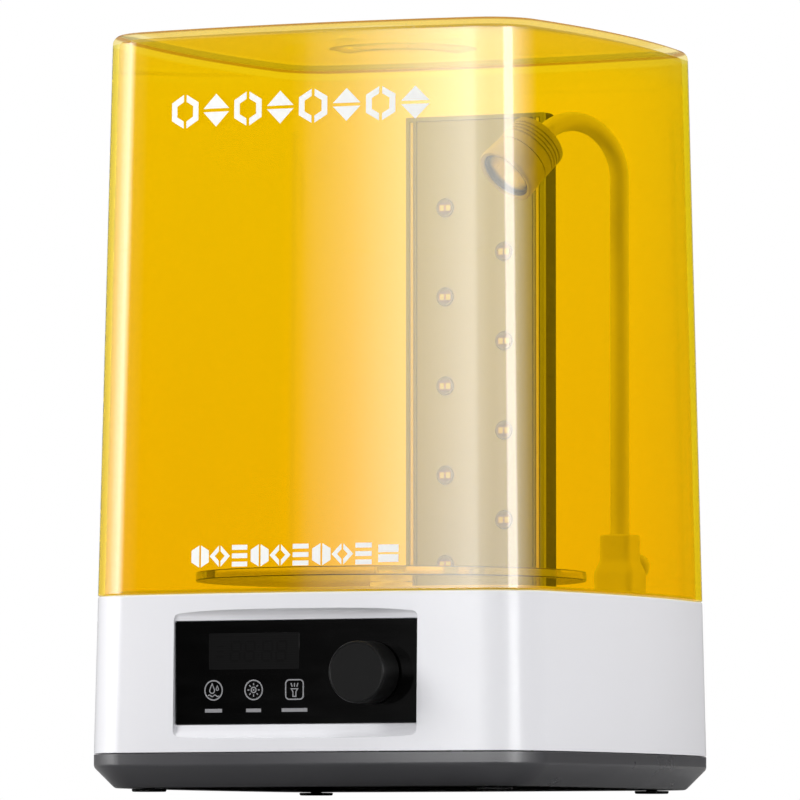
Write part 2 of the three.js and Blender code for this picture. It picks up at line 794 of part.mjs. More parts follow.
const HEAD_PIVOT = pointOnArc(THREE.MathUtils.degToRad(90 + NECK_ARC.tilt));

// The curved part of the neck: a cup over the lower ball, and a ball of its own for the head.
function neckUpper() {
  const circle = new THREE.Shape();
  circle.absarc(0, 0, LAMP.radius, 0, 2 * HALF_TURN);
  const tube = new THREE.ExtrudeGeometry(circle, {
    extrudePath: new NeckLine(2),
    steps: 24,
    curveSegments: 5,
    bevelEnabled: false,
  });
  const cup = new THREE.SphereGeometry(BALL.cup, 12, 8);
  cup.translate(0, 0, LAMP.bendZ);
  const ball = new THREE.SphereGeometry(BALL.radius, 12, 8);
  ball.translate(HEAD_PIVOT.x, 0, HEAD_PIVOT.z);
  return join(cut(solid(tube), solid(cup)), solid(ball));
}

// The head's pieces are drawn along +Z, with the pivot at the origin and the lens in front.
const HEAD = { back: 2.6, seam: 16.5, front: 28.2, radius: 13.1, bezelRadius: 13.8 };

function lampBody() {
  const cupStart = THREE.MathUtils.radToDeg(Math.asin(GAP / BALL.cup));
  const cup = arcProfile(0, 0, BALL.cup, 90, cupStart, 5).slice(1);
  const grooves = [];
  for (let i = 0; i < 4; i++) {
    const t = 6 + i * 1.8;
    grooves.push([HEAD.radius, t], [HEAD.radius - 0.7, t + 0.4], [HEAD.radius, t + 0.8]);
  }
  return turned([
    [0, BALL.cup],
    ...cup,
    [5.2, GAP],
    [5.2, HEAD.back],
    ...arcProfile(HEAD.radius - 2.4, HEAD.back + 2.4, 2.4, 270, 360, 3),
    ...grooves,
    [HEAD.radius, HEAD.seam],
    [11.5, HEAD.seam],
    [11.5, 9],
    [0, 9],
  ], 18);
}

function lampBezel() {
  return turned([
    [11.6, HEAD.seam + GAP],
    [HEAD.radius, HEAD.seam + GAP],
    [HEAD.bezelRadius, HEAD.front - 1],
    [HEAD.bezelRadius - 0.6, HEAD.front],
    [11.6, HEAD.front - 0.4],
    [11.3, HEAD.front - 1.6],
    [11.6, HEAD.seam + GAP],
  ]);
}

function lampLens() {
  const dome = arcProfile(0, HEAD.front - 33, 31.6, 71, 90, 4).reverse();
  const rim = dome.at(-1)[0];
  const back = HEAD.front - 4.5;
  return turned([[0, back], [rim, back], ...dome.slice(1).reverse(), [0, dome[0][1]]]);
}

function lampEmitter() {
  const base = 9 + GAP;
  const profile = [[0, base], [9, base], [9, base + 1.6], [3, base + 1.6], [2.4, base + 3], [0, base + 3.6]];
  return turned(profile, 16);
}

// ---- Power inlet and switch, drawn with the third axis pointing out of the back ----

function dcInlet() {
  return turned([
    [0, -12],
    [5.9, -12],
    [5.9, GAP],
    [8, GAP],
    [8, 1.2],
    [7.4, 1.8],
    [3.9, 1.8],
    [3.9, -7],
    [1, -7],
    [1, -3.2],
    [0, -3],
  ]);
}

function switchHousing() {
  const body = plate(0, 0, 2 * SWITCH.halfWidth, 2 * SWITCH.halfHeight, -12, 1, 0.8);
  const flange = plate(0, 0, 2 * SWITCH.halfWidth + 3, 2 * SWITCH.halfHeight + 3, GAP, 1.8, 1.5);
  return cut(join(body, flange), block([-5.9, -9.2, -8], [5.9, 9.2, 4]));
}

const ROCKER = { pivot: -2, halfWidth: 5.5, rest: 8 };

// The rocker: a shallow V on top, drawn about its pivot and then leaned to its rest side.
function rocker() {
  const side = new THREE.Shape();
  const halfLength = 8.2;
  side.moveTo(-halfLength, 4.2);
  side.lineTo(-halfLength, 0);
  side.lineTo(-3, -3.4);
  side.lineTo(3, -3.4);
  side.lineTo(halfLength, 0);
  side.lineTo(halfLength, 4.2);
  side.lineTo(0, 3.0);
  const geometry = new THREE.ExtrudeGeometry(side, { depth: 2 * ROCKER.halfWidth, bevelEnabled: false });
  geometry.rotateX(HALF_TURN / 2);
  geometry.rotateZ(HALF_TURN / 2);
  geometry.translate(-ROCKER.halfWidth, 0, 0);
  geometry.rotateX(THREE.MathUtils.degToRad(ROCKER.rest));
  return solid(geometry);
}

// ---- Leads inside the base, held at both ends ----

function lead(points, radius) {
  const path = new THREE.CatmullRomCurve3(points.map(([x, y, z]) => new THREE.Vector3(x, y, z)));
  const section = new THREE.Shape();
  section.absarc(0, 0, radius, 0, 2 * HALF_TURN);
  return solid(new THREE.ExtrudeGeometry(section, {
    extrudePath: path,
    steps: 10,
    curveSegments: 3,
    bevelEnabled: false,
  }));
}

const PLUG_TOP = CONNECTOR.top + GAP;
const PLUG_SIDE = CONNECTOR.half + 0.5;      // how far short of a plug's middle a level lead ends
const REAR_END = SERVICE.y - 12.4;           // just inside the inlet and the switch
const { panel: P, motor: M, led: L, inlet: I, switch: S } = PLUGS;
const LEADS = {
  panel_lead: [
    [PANEL_PLUG.x, PANEL.y + 16.2, PANEL_PLUG.z],
    [PANEL_PLUG.x, -82, PANEL_PLUG.z],
    [-36, -66, 44],
    [-44, -30, 34],
    [-40, 5, 22],
    [P.x, 19, 19],
    [P.x, P.y - PLUG_SIDE, 19],
  ],
  motor_lead: [
    [M.x, MOTOR_Y + MOTOR.radius + 0.6, 36],
    [M.x, 10, 34],
    [M.x, 15, 22],
    [M.x, 19, 19],
    [M.x, M.y - PLUG_SIDE, 19],
  ],
  led_lead: [[L.x, L.y, 86], [L.x, L.y, 55], [L.x, L.y, PLUG_TOP]],
  inlet_lead: [
    [INLET.x, REAR_END, INLET.z],
    [-64, 90, 47],
    [-48, 78, 38],
    [I.x, I.y, 30],
    [I.x, I.y, PLUG_TOP],
  ],
  switch_lead: [
    [SWITCH.x, REAR_END, SWITCH.z],
    [-37, 90, 47],
    [-28, 77, 38],
    [S.x, S.y, 30],
    [S.x, S.y, PLUG_TOP],
  ],
};

// ---- Materials ----

function finish(color, roughness, metalness = 0) {
  return new THREE.MeshStandardMaterial({ color, roughness, metalness });
}

function clearFinish(color, opacity) {
  return new THREE.MeshStandardMaterial({ color, roughness: 0.05, transparent: true, opacity });
}

const MATERIALS = {
  whitePlastic: finish(0xe8e8ee, 0.45),
  darkPlastic: finish(0x4b4b4e, 0.6),
  blackGloss: finish(0x050505, 0.08),
  blackSatin: finish(0x161616, 0.4),
  rubber: finish(0x2a2a2b, 0.85),
  amber: clearFinish(0xf2b400, 0.55),
  clear: clearFinish(0xf4f6f4, 0.4),
  greyPlastic: finish(0x8f8f8c, 0.5),
  silver: finish(0xc9c9c6, 0.3, 0.9),
  paleGrey: finish(0xd6d4cc, 0.45),
  steel: finish(0xb8b8b8, 0.35, 1),
  circuit: finish(0x1f5a3a, 0.6),
  ledDome: finish(0xeceade, 0.15),
};

// ---- The assembly ----

const station = new THREE.Group();
station.position.y = FRAME_SHIFT;

function add(parent, name, body, material) {
  const mesh = new THREE.Mesh(geometryOf(body), material);
  mesh.name = name;
  parent.add(mesh);
  return mesh;
}

function group(parent, [x, y, z], [rx, ry, rz] = [0, 0, 0]) {
  const child = new THREE.Group();
  child.position.set(x, y, z);
  child.rotation.set(rx, ry, rz);
  parent.add(child);
  return child;
}

function addBase() {
  add(station, 'bottom_tray', bottomTray(), MATERIALS.darkPlastic);
  add(station, 'base_shell', baseShell(), MATERIALS.whitePlastic);
  add(station, 'main_board', mainBoard(), MATERIALS.circuit);
  const ends = { front: -1, rear: 1 };
  const sides = { left: -1, right: 1 };
  for (const [end, toY] of Object.entries(ends)) {
    for (const [side, toX] of Object.entries(sides)) {
      const footPlace = group(station, [toX * FOOT.x, toY * FOOT.y, 0]);
      add(footPlace, `foot_${end}_${side}`, foot(), MATERIALS.rubber);
      const screwPlace = group(station, [toX * TRAY_SCREW.x, toY * TRAY_SCREW.y, 0]);
      add(screwPlace, `tray_screw_${end}_${side}`, screw(TRAY_Z + GAP, TRAY_Z + 1.5, 14), MATERIALS.steel);
    }
  }
}

function addPanel() {
  const panel = group(station, [0, PANEL.y, 0], [HALF_TURN / 2, 0, 0]);
  add(panel, 'control_panel', controlPanel(), MATERIALS.blackGloss);
  add(panel, 'display_module', displayModule(), MATERIALS.blackSatin);
  add(panel, 'panel_board', panelBoard(), MATERIALS.circuit);
  const encoder = group(panel, [KNOB.x, KNOB.z, 0]);
  add(encoder, 'encoder_body', encoderBody(), MATERIALS.steel);
  add(encoder, 'encoder_plunger', encoderPlunger(), MATERIALS.steel);
  add(encoder, 'encoder_shaft', encoderShaft(), MATERIALS.steel);
  add(encoder, 'control_knob', controlKnob(), MATERIALS.blackSatin);
}

function addDrive() {
  const drive = group(station, [0, MOTOR_Y, 0]);
  add(drive, 'drive_motor', driveMotor(), MATERIALS.steel);
  add(drive, 'motor_bracket', motorBracket(), MATERIALS.steel);
  add(drive, 'motor_shaft', rod(0, 0, MOTOR.top - 2.7, 75, SHAFT_RADIUS), MATERIALS.steel);
  add(drive, 'drive_rotor', driveRotor(), MATERIALS.darkPlastic);
  for (const [side, toX] of Object.entries({ left: -1, right: 1 })) {
    const x = toX * ROTOR.magnetX;
    const magnet = rod(x, 0, ROTOR.pocketZ + GAP, ROTOR.top, ROTOR.magnetRadius, 16);
    add(drive, `drive_magnet_${side}`, magnet, MATERIALS.steel);
    const place = group(drive, [toX * BRACKET_SCREW_X, 0, 0]);
    add(place, `bracket_screw_${side}`, screw(58.4, BRACKET.low - GAP, 69.5), MATERIALS.steel);
  }
  add(drive, 'turntable_hub', turntableHub(), MATERIALS.greyPlastic);
  add(drive, 'turntable_disc', turntableDisc(), MATERIALS.clear);
}

function addPillar() {
  add(station, 'pillar_housing', pillarHousing(), MATERIALS.blackSatin);
  add(station, 'pillar_front', pillarFront(), MATERIALS.paleGrey);
  add(station, 'pillar_trim_left', pillarTrim(-1), MATERIALS.silver);
  add(station, 'pillar_trim_right', pillarTrim(1), MATERIALS.silver);
  add(station, 'led_board', ledBoard(), MATERIALS.circuit);
  ledPlaces().forEach(([x, z], i) => {
    const place = group(station, [x, LED_BASE_Y, z], [HALF_TURN / 2, 0, 0]);
    add(place, `led_${String(i + 1).padStart(2, '0')}`, led(), MATERIALS.ledDome);
  });
}

function addLamp() {
  const foot = group(station, [LAMP.x, LAMP.y, 0]);
  add(foot, 'lamp_socket', lampSocket(), MATERIALS.greyPlastic);
  const lock = group(foot, [0, 0, SOCKET.screwZ], [-HALF_TURN / 2, 0, 0]);
  add(lock, 'lamp_lock_screw', lockScrew(), MATERIALS.greyPlastic);
  const arm = group(foot, [0, 0, 0], [0, 0, THREE.MathUtils.degToRad(LAMP.heading)]);
  add(arm, 'neck_lower', neckLower(), MATERIALS.greyPlastic);
  add(arm, 'neck_upper', neckUpper(), MATERIALS.greyPlastic);
  const head = group(arm, HEAD_PIVOT.toArray(), [0, THREE.MathUtils.degToRad(90 + NECK_ARC.tilt), 0]);
  add(head, 'lamp_body', lampBody(), MATERIALS.greyPlastic);
  add(head, 'lamp_bezel', lampBezel(), MATERIALS.greyPlastic);
  add(head, 'lamp_lens', lampLens(), MATERIALS.clear);
  add(head, 'lamp_emitter', lampEmitter(), MATERIALS.ledDome);
}

function addRear() {
  const rear = group(station, [0, SERVICE.y, 0], [-HALF_TURN / 2, 0, HALF_TURN]);
  const inlet = group(rear, [-INLET.x, INLET.z, 0]);
  add(inlet, 'dc_inlet', dcInlet(), MATERIALS.blackSatin);
  const powerSwitch = group(rear, [-SWITCH.x, SWITCH.z, 0]);
  add(powerSwitch, 'switch_housing', switchHousing(), MATERIALS.blackSatin);
  const pivot = group(powerSwitch, [0, 0, ROCKER.pivot]);
  add(pivot, 'power_rocker', rocker(), MATERIALS.blackGloss);
}

addBase();
addPanel();
addDrive();
addPillar();
addLamp();
addRear();
for (const [name, points] of Object.entries(LEADS)) {
  add(station, name, lead(points, 1.6), MATERIALS.rubber);
}
add(station, 'cover_shell', coverShell(), MATERIALS.amber);

export default station;
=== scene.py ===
"""Looks of a resin wash and cure station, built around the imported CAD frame.

Lengths are in metres, in the frame's axes: +Z up, the control panel faces -Y.
"""

import json
import math

import bmesh
import bpy
from mathutils import Matrix, Vector


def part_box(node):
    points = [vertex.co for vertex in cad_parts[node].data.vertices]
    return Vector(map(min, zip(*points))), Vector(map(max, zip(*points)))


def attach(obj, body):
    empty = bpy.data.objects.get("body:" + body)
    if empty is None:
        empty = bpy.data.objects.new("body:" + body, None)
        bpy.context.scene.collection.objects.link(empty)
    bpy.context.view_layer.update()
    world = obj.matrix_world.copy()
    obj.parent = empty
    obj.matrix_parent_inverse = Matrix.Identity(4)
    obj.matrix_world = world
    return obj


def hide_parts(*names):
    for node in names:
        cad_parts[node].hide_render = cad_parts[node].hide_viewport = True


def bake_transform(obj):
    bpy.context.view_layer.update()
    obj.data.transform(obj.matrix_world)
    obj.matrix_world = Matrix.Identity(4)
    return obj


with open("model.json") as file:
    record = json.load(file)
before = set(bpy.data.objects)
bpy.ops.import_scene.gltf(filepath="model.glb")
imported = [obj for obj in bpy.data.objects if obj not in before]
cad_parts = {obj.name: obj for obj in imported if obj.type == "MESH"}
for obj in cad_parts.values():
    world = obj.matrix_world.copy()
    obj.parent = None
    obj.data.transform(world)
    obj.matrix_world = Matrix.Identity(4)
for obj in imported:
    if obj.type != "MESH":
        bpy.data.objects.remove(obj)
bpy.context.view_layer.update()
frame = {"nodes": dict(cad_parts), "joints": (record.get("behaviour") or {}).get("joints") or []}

MM = 0.001
GAP = 0.3 * MM               # clearance that the CAD leaves between touching pieces

# ---- Sizes, read from the frame ----

SHELL_LOW, SHELL_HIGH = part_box("base_shell")
TRAY_LOW, TRAY_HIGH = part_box("bottom_tray")
COVER_LOW, COVER_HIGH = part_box("cover_shell")
PANEL_LOW, PANEL_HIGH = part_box("control_panel")
KNOB_LOW, KNOB_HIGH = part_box("control_knob")

HALF_WIDTH = SHELL_HIGH.x
HALF_DEPTH = (SHELL_HIGH.y - SHELL_LOW.y) / 2
MIDDLE_Y = (SHELL_HIGH.y + SHELL_LOW.y) / 2
BOW = 10 * MM                # how far a side's middle stands out from its ends
CORNER = 27 * MM
DRAFT = 0.056 / 0.3          # share of the width lost per metre of height above the seam

SEAM = TRAY_HIGH.z + GAP     # tray below, white shell above
CREASE = SEAM - 5.7 * MM     # top of the tray's chamfer
SEAT = COVER_LOW.z - GAP     # ledge that the cover stands on
RIM = SEAT + 2.1 * MM        # top of the rim inside the cover
DECK = SEAT - 1.1 * MM
TOP = COVER_HIGH.z
RIM_INSET = 4 * MM
SHELL_WALL = 3 * MM
COVER_WALL = 2.8 * MM

SIDE_STEPS = 20
CORNER_STEPS = 14
ROUND = 64                   # segments of a turned piece

PANEL_Y = PANEL_LOW.y        # the panel's front face
JOINTS = {joint["name"]: joint for joint in frame["joints"]}


# ---- Camera, light and floor ----

def add_camera():
    """A long lens to the front right, a little below the floor line and tipped up."""
    azimuth = math.radians(25.15)
    turn = math.radians(0.02)
    pitch = math.radians(3.2)
    distance = 3.7685
    data = bpy.data.cameras.new("camera")
    data.lens = 393.5
    data.sensor_width = 36
    data.clip_start = 0.1
    data.clip_end = 60
    camera = bpy.data.objects.new("camera", data)
    across = distance * math.sin(azimuth)
    camera.location = (across, MIDDLE_Y - distance * math.cos(azimuth), -41.3 * MM)
    camera.rotation_euler = (math.pi / 2 + pitch, 0, azimuth + turn)
    bpy.context.scene.collection.objects.link(camera)
    bpy.context.scene.camera = camera


class Nodes:
    """A short way to add nodes to a tree and join them up."""

    def __init__(self, tree):
        self.tree = tree
        tree.nodes.clear()

    def add(self, kind, inputs=None, **settings):
        node = self.tree.nodes.new(kind)
        for name, value in settings.items():
            setattr(node, name, value)
        for name, value in (inputs or {}).items():
            self.give(node.inputs[name], value)
        return node

    def give(self, socket, value):
        if isinstance(value, bpy.types.NodeSocket):
            self.tree.links.new(value, socket)
        else:
            socket.default_value = value

    def math(self, operation, *values):
        node = self.add("ShaderNodeMath", operation=operation)
        for socket, value in zip(node.inputs, values):
            self.give(socket, value)
        return node.outputs[0]

    def mix(self, factor, first, second, blend="MIX"):
        node = self.add("ShaderNodeMix", data_type="RGBA", blend_type=blend)
        for socket, value in ((node.inputs[0], factor), (node.inputs[6], first), (node.inputs[7], second)):
            self.give(socket, value)
        return node.outputs[2]

    def span(self, value, low, high, to_low, to_high):
        values = {"Value": value, "From Min": low, "From Max": high, "To Min": to_low, "To Max": to_high}
        return self.add("ShaderNodeMapRange", values).outputs[0]

    def ramp(self, factor, stops, interpolation="LINEAR"):
        node = self.add("ShaderNodeValToRGB", {"Fac": factor})
        node.color_ramp.interpolation = interpolation
        elements = node.color_ramp.elements
        elements[0].position, elements[0].color = stops[0]
        elements[1].position, elements[1].color = stops[-1]
        for position, colour in stops[1:-1]:
            elements.new(position).color = colour
        return node.outputs["Color"]

    def place(self):
        return self.add("ShaderNodeTexCoord").outputs["Object"]

    def noise(self, vector, scale, detail=3.0, roughness=0.55):
        values = {"Vector": vector, "Scale": scale, "Detail": detail, "Roughness": roughness}
        return self.add("ShaderNodeTexNoise", values).outputs[0]

    def stretch(self, vector, scale):
        return self.add("ShaderNodeMapping", {"Vector": vector, "Scale": scale}).outputs[0]

    def bump(self, height, strength, distance):
        values = {"Height": height, "Strength": strength, "Distance": distance}
        return self.add("ShaderNodeBump", values).outputs[0]


def grey(value, alpha=1.0):
    return (value, value, value, alpha)


# Brightness of the studio around the station, as its gloss reflects it. Degrees are measured from
# the front towards the right: a soft panel on the left, a wide one in front that grows brighter to
# the right, a bright narrow strip, a fade to nothing on the far right and the backdrop behind.
STUDIO = (
    (-180, 0.05), (-172, 0.08), (-130, 0.1), (-116, 0.15), (-104, 0.3), (-92, 0.9), (-84, 1.5), (-70, 3.8), (-60, 5.6),
    (-52, 2.2), (-48, 0.5), (-44, 0.0), (-26.6, 0.0), (-25.2, 0.1), (-24.0, 0.45), (-20, 1.2), (-14, 3.2), (-7, 6.2),
    (0, 4.8), (25, 3.9), (44, 4.3), (50, 4.4), (51.5, 8.5), (68, 8.5), (69.5, 4.0),
    (76, 2.7), (84, 1.95), (95, 1.0), (107, 0.4), (118, 0.08), (126, 0.0), (172, 0.0),
)
STUDIO_PEAK = 10.0
STUDIO_STRENGTH = 2.2


def add_world():
    """A white backdrop, an even pale sky for matt surfaces, and the studio for reflections."""
    world = bpy.data.worlds.new("studio")
    world.use_nodes = True
    bpy.context.scene.world = world
    n = Nodes(world.node_tree)
    path = n.add("ShaderNodeLightPath").outputs
    direction = n.add("ShaderNodeTexCoord").outputs["Generated"]
    axes = n.add("ShaderNodeSeparateXYZ", {"Vector": direction}).outputs
    heading = n.math("ARCTAN2", axes["X"], n.math("MULTIPLY", axes["Y"], -1.0))
    turn = n.span(heading, -math.pi, math.pi, 0.0, 1.0)
    stops = [((degrees + 180) / 360, grey(value / STUDIO_PEAK)) for degrees, value in STUDIO]
    studio = n.mix(1.0, n.ramp(turn, stops), grey(STUDIO_PEAK * STUDIO_STRENGTH), "MULTIPLY")
    straight = n.math("MAXIMUM", path["Is Camera Ray"], path["Is Transmission Ray"])
    sky = (0.345, 0.345, 0.357, 1)
    studio = n.mix(n.span(axes["Z"], 0.2, 0.35, 0.0, 1.0), studio, grey(0.9))
    colour = n.mix(path["Is Glossy Ray"], sky, studio)
    colour = n.mix(straight, colour, grey(1.0))
    # Lamps and sky already reach what is under the cover, so light that refracts in isn't counted twice.
    scattered = n.math("GREATER_THAN", path["Diffuse Depth"], 0.5)
    twice = n.math("MULTIPLY", path["Is Transmission Ray"], scattered)
    strength = n.math("SUBTRACT", 1.0, twice)
    background = n.add("ShaderNodeBackground", {"Color": colour, "Strength": strength})
    n.add("ShaderNodeOutputWorld", {"Surface": background.outputs[0]})


def add_lamp(name, heading, elevation, distance, size, power):
    """A square soft lamp that shines on the station's middle and doesn't show in its gloss."""
    data = bpy.data.lights.new(name, "AREA")
    data.size = size
    data.energy = power
    lamp = bpy.data.objects.new(name, data)
    around = math.radians(heading)
    above = math.radians(elevation)
    level = math.cos(above)
    toward = Vector((math.sin(around) * level, -math.cos(around) * level, math.sin(above)))
    lamp.location = Vector((0, MIDDLE_Y, TOP / 2)) + toward * distance
    lamp.rotation_euler = toward.to_track_quat("Z", "Y").to_euler()
    lamp.visible_glossy = False
    lamp.visible_camera = False
    lamp.visible_transmission = False
    bpy.context.scene.collection.objects.link(lamp)


def floor_material():
    """Pale and matt from above, and clear from below, where the camera looks through it."""
    material = bpy.data.materials.new("floor")
    material.use_nodes = True
    n = Nodes(material.node_tree)
    mottle = n.noise(n.place(), 6.0)
    colour = n.mix(mottle, grey(0.54), grey(0.57))
    matt = n.add("ShaderNodeBsdfDiffuse", {"Color": colour})
    clear = n.add("ShaderNodeBsdfTransparent")
    under = n.add("ShaderNodeNewGeometry").outputs["Backfacing"]
    mixed = n.add("ShaderNodeMixShader", {0: under, 1: matt.outputs[0], 2: clear.outputs[0]})
    n.add("ShaderNodeOutputMaterial", {"Surface": mixed.outputs[0]})
    return material


def add_floor():
    """A plain round floor."""
    bm = bmesh.new()
    rings = []
    centre = Vector((0, 0, 0))
    for radius in (0.4, 1.0, 3.2):
        rings.append(circle(centre, radius, 96))
    skin(bm, [[centre], *rings])
    bmesh.ops.reverse_faces(bm, faces=bm.faces[:])
    mesh = bpy.data.meshes.new("floor")
    bm.to_mesh(mesh)
    bm.free()
    mesh.materials.append(floor_material())
    mesh.shade_smooth()
    floor = bpy.data.objects.new("floor", mesh)
    bpy.context.scene.collection.objects.link(floor)


# ---- Mesh helpers ----

def circle(centre, radius, count, x_axis=Vector((1, 0, 0)), y_axis=Vector((0, 1, 0))):
    points = []
    for i in range(count):
        angle = 2 * math.pi * i / count
        points.append(centre + radius * (math.cos(angle) * x_axis + math.sin(angle) * y_axis))
    return points


def skin(bm, rings, closed=False):
    """Faces between rings of points, one after another. A ring of one point is a tip."""
    rows = [[bm.verts.new(point) for point in ring] for ring in rings]
    pairs = list(zip(rows, rows[1:]))
    if closed:
        pairs.append((rows[-1], rows[0]))
    for first, second in pairs:
        count = max(len(first), len(second))
        if count == 1:
            continue
        for i in range(count):
            j = (i + 1) % count
            corners = [first[i % len(first)], first[j % len(first)], second[j % len(second)], second[i % len(second)]]
            bm.faces.new(list(dict.fromkeys(corners)))
    return rows


def soften(points, steps=4):
    """Rounds the corners of a line of (a, b, fillet) points; fillet is how far from the corner it starts."""
    result = []
    for i, (a, b, fillet) in enumerate(points):
        here = Vector((a, b))
        if not fillet or i in (0, len(points) - 1):
            result.append(here)
            continue
        before = Vector(points[i - 1][:2]) - here
        after = Vector(points[i + 1][:2]) - here
        start = here + before.normalized() * min(fillet, before.length * 0.49)
        end = here + after.normalized() * min(fillet, after.length * 0.49)
        for step in range(steps + 1):
            t = step / steps
            result.append(start * (1 - t) ** 2 + here * 2 * t * (1 - t) + end * t ** 2)
    return result


def turned(profile, centre, axis, count=ROUND, steps=4):
    """A turned shape. Its (radius, height, fillet) points run from axis to axis, or end where they start."""
    bm = bmesh.new()
    turn = axis.normalized().to_track_quat("Z", "Y")
    x_axis = turn @ Vector((1, 0, 0))
    y_axis = turn @ Vector((0, 1, 0))
    points = soften(profile, steps)
    closed = (points[0] - points[-1]).length < 1e-7
    if closed:
        points.pop()
    rings = []
    for radius, height in points:
        place = centre + axis.normalized() * height
        rings.append(circle(place, radius, count, x_axis, y_axis) if radius > 1e-7 else [place])
    skin(bm, rings, closed)
    return bm


def block(low, high, edge=0.0, steps=2):
    """A box with rounded edges."""
    bm = bmesh.new()
    bmesh.ops.create_cube(bm, size=1)
    low, high = Vector(low), Vector(high)
    for vert in bm.verts:
        vert.co = (low + high) / 2 + Vector(vert.co) * (high - low)
    if edge:
        bmesh.ops.bevel(bm, geom=bm.edges[:], offset=edge, segments=steps, profile=0.5, affect="EDGES")
    return bm


def round_edges(bm, width, steps=2, angle=30):
    """Rounds every edge that is sharper than an angle."""
    bmesh.ops.remove_doubles(bm, verts=bm.verts[:], dist=2e-6)
    bmesh.ops.dissolve_degenerate(bm, edges=bm.edges[:], dist=2e-6)
    limit = math.radians(angle)
    sharp = [e for e in bm.edges if len(e.link_faces) == 2 and e.calc_face_angle() > limit]
    bmesh.ops.bevel(
        bm, geom=sharp, offset=width, segments=steps, profile=0.5, affect="EDGES", clamp_overlap=True
    )
    return bm


def rounded_rectangle(width, height, radius, steps=8):
    """Points of a rectangle with round corners, about its middle."""
    points = []
    for quarter, (sx, sy) in enumerate(((1, 1), (-1, 1), (-1, -1), (1, -1))):
        for step in range(steps + 1):
            angle = (quarter + step / steps) * math.pi / 2
            x = sx * (width / 2 - radius) + radius * math.cos(angle)
            y = sy * (height / 2 - radius) + radius * math.sin(angle)
            points.append(Vector((x, y)))
    return points


def loose(name, bm):
    """An object that rides on nothing yet."""
    bmesh.ops.recalc_face_normals(bm, faces=bm.faces[:])
    mesh = bpy.data.meshes.new(name)
    bm.to_mesh(mesh)
    bm.free()
    thing = bpy.data.objects.new(name, mesh)
    bpy.context.scene.collection.objects.link(thing)
    return thing


def evaluated(thing):
    """The mesh of an object with its modifiers worked in."""
    graph = bpy.context.evaluated_depsgraph_get()
    return bpy.data.meshes.new_from_object(thing.evaluated_get(graph))


def combine(first, others, operation):
    """Joins or cuts closed shapes, and gives back one."""
    body = loose("work", first)
    tools = [loose("tool", other) for other in others]
    for tool in tools:
        step = body.modifiers.new("step", "BOOLEAN")
        step.operation = operation
        step.object = tool
        step.solver = "EXACT"
    result = bmesh.new()
    result.from_mesh(evaluated(body))
    for thing in [body, *tools]:
        bpy.data.objects.remove(thing)
    return result


def cut(first, *others):
    return combine(first, others, "DIFFERENCE")


def join(first, *others):
    return combine(first, others, "UNION")


def gather(*shapes):
    """Several shapes in one mesh, left as separate shells."""
    bm = bmesh.new()
    for shape in shapes:
        mesh = bpy.data.meshes.new("part")
        shape.to_mesh(mesh)
        shape.free()
        bm.from_mesh(mesh)
        bpy.data.meshes.remove(mesh)
    return bm


def piece(name, bm, body, material, replaces=(), smooth=32):
    """Makes a finished piece of the object and says what it rides on and stands for."""
    thing = loose(name, bm)
    thing.data.materials.append(material)
    thing.data.shade_smooth()
    thing.data.set_sharp_from_angle(angle=math.radians(smooth))
    weight = thing.modifiers.new("flat faces stay flat", "WEIGHTED_NORMAL")
    weight.keep_sharp = True
    thing.data = evaluated(thing)
    thing.modifiers.clear()
    if body:
        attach(thing, body)
    if replaces:
        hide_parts(*replaces)
    return thing


# ---- The bowed square outline that the tray, the case and the cover share ----

def side_radius(half):
    return ((half - BOW) ** 2 + BOW ** 2) / (2 * BOW)


RIGHT_RADIUS = side_radius(HALF_DEPTH)
BACK_RADIUS = side_radius(HALF_WIDTH)
RIGHT_X = HALF_WIDTH - RIGHT_RADIUS      # centre of the arc on the right side
BACK_Y = HALF_DEPTH - BACK_RADIUS        # centre of the arc on the back, from the middle


def corner_centre():
    """Centre of the rear right corner's arc, from the middle."""
    reach_right = RIGHT_RADIUS - CORNER
    reach_back = BACK_RADIUS - CORNER
    span = math.hypot(RIGHT_X, BACK_Y)
    along = (reach_right ** 2 - reach_back ** 2 + span ** 2) / (2 * span)
    across = math.sqrt(reach_right ** 2 - along ** 2)
    unit_x, unit_y = -RIGHT_X / span, BACK_Y / span
    return RIGHT_X + along * unit_x - across * unit_y, along * unit_y + across * unit_x


def outline(inset=0.0):
    """Points of the outline, moved inwards, anticlockwise from the right side, about the middle."""
    x, y = corner_centre()
    a = math.atan2(y, x - RIGHT_X)
    b = math.atan2(y - BACK_Y, x)
    half = math.pi
    arcs = (
        (RIGHT_X, 0, RIGHT_RADIUS, -a, a, SIDE_STEPS),
        (x, y, CORNER, a, b, CORNER_STEPS),
        (0, BACK_Y, BACK_RADIUS, b, half - b, SIDE_STEPS),
        (-x, y, CORNER, half - b, half - a, CORNER_STEPS),
        (-RIGHT_X, 0, RIGHT_RADIUS, half - a, half + a, SIDE_STEPS),
        (-x, -y, CORNER, half + a, half + b, CORNER_STEPS),
        (0, -BACK_Y, BACK_RADIUS, half + b, 2 * half - b, SIDE_STEPS),
        (x, -y, CORNER, 2 * half - b, 2 * half - a, CORNER_STEPS),
    )
    points = []
    for centre_x, centre_y, radius, start, end, steps in arcs:
        for i in range(steps):
            angle = start + (end - start) * i / steps
            reach = radius - inset
            points.append((centre_x + reach * math.cos(angle), centre_y + reach * math.sin(angle)))
    return points


def draft_scale(z):
    return 1 - DRAFT * max(0, z - SEAM)


def ring(z, inset):
    """The outline at a height."""
    scale = draft_scale(z)
    return [Vector((x * scale, MIDDLE_Y + y * scale, z)) for x, y in outline(inset)]


def round_ring(z, radius, centre_y):
    """A circle with a point for each point of the outline."""
    points = []
    for x, y in outline():
        unit = Vector((x, y)).normalized()
        points.append(Vector((unit.x * radius, centre_y + unit.y * radius, z)))
    return points


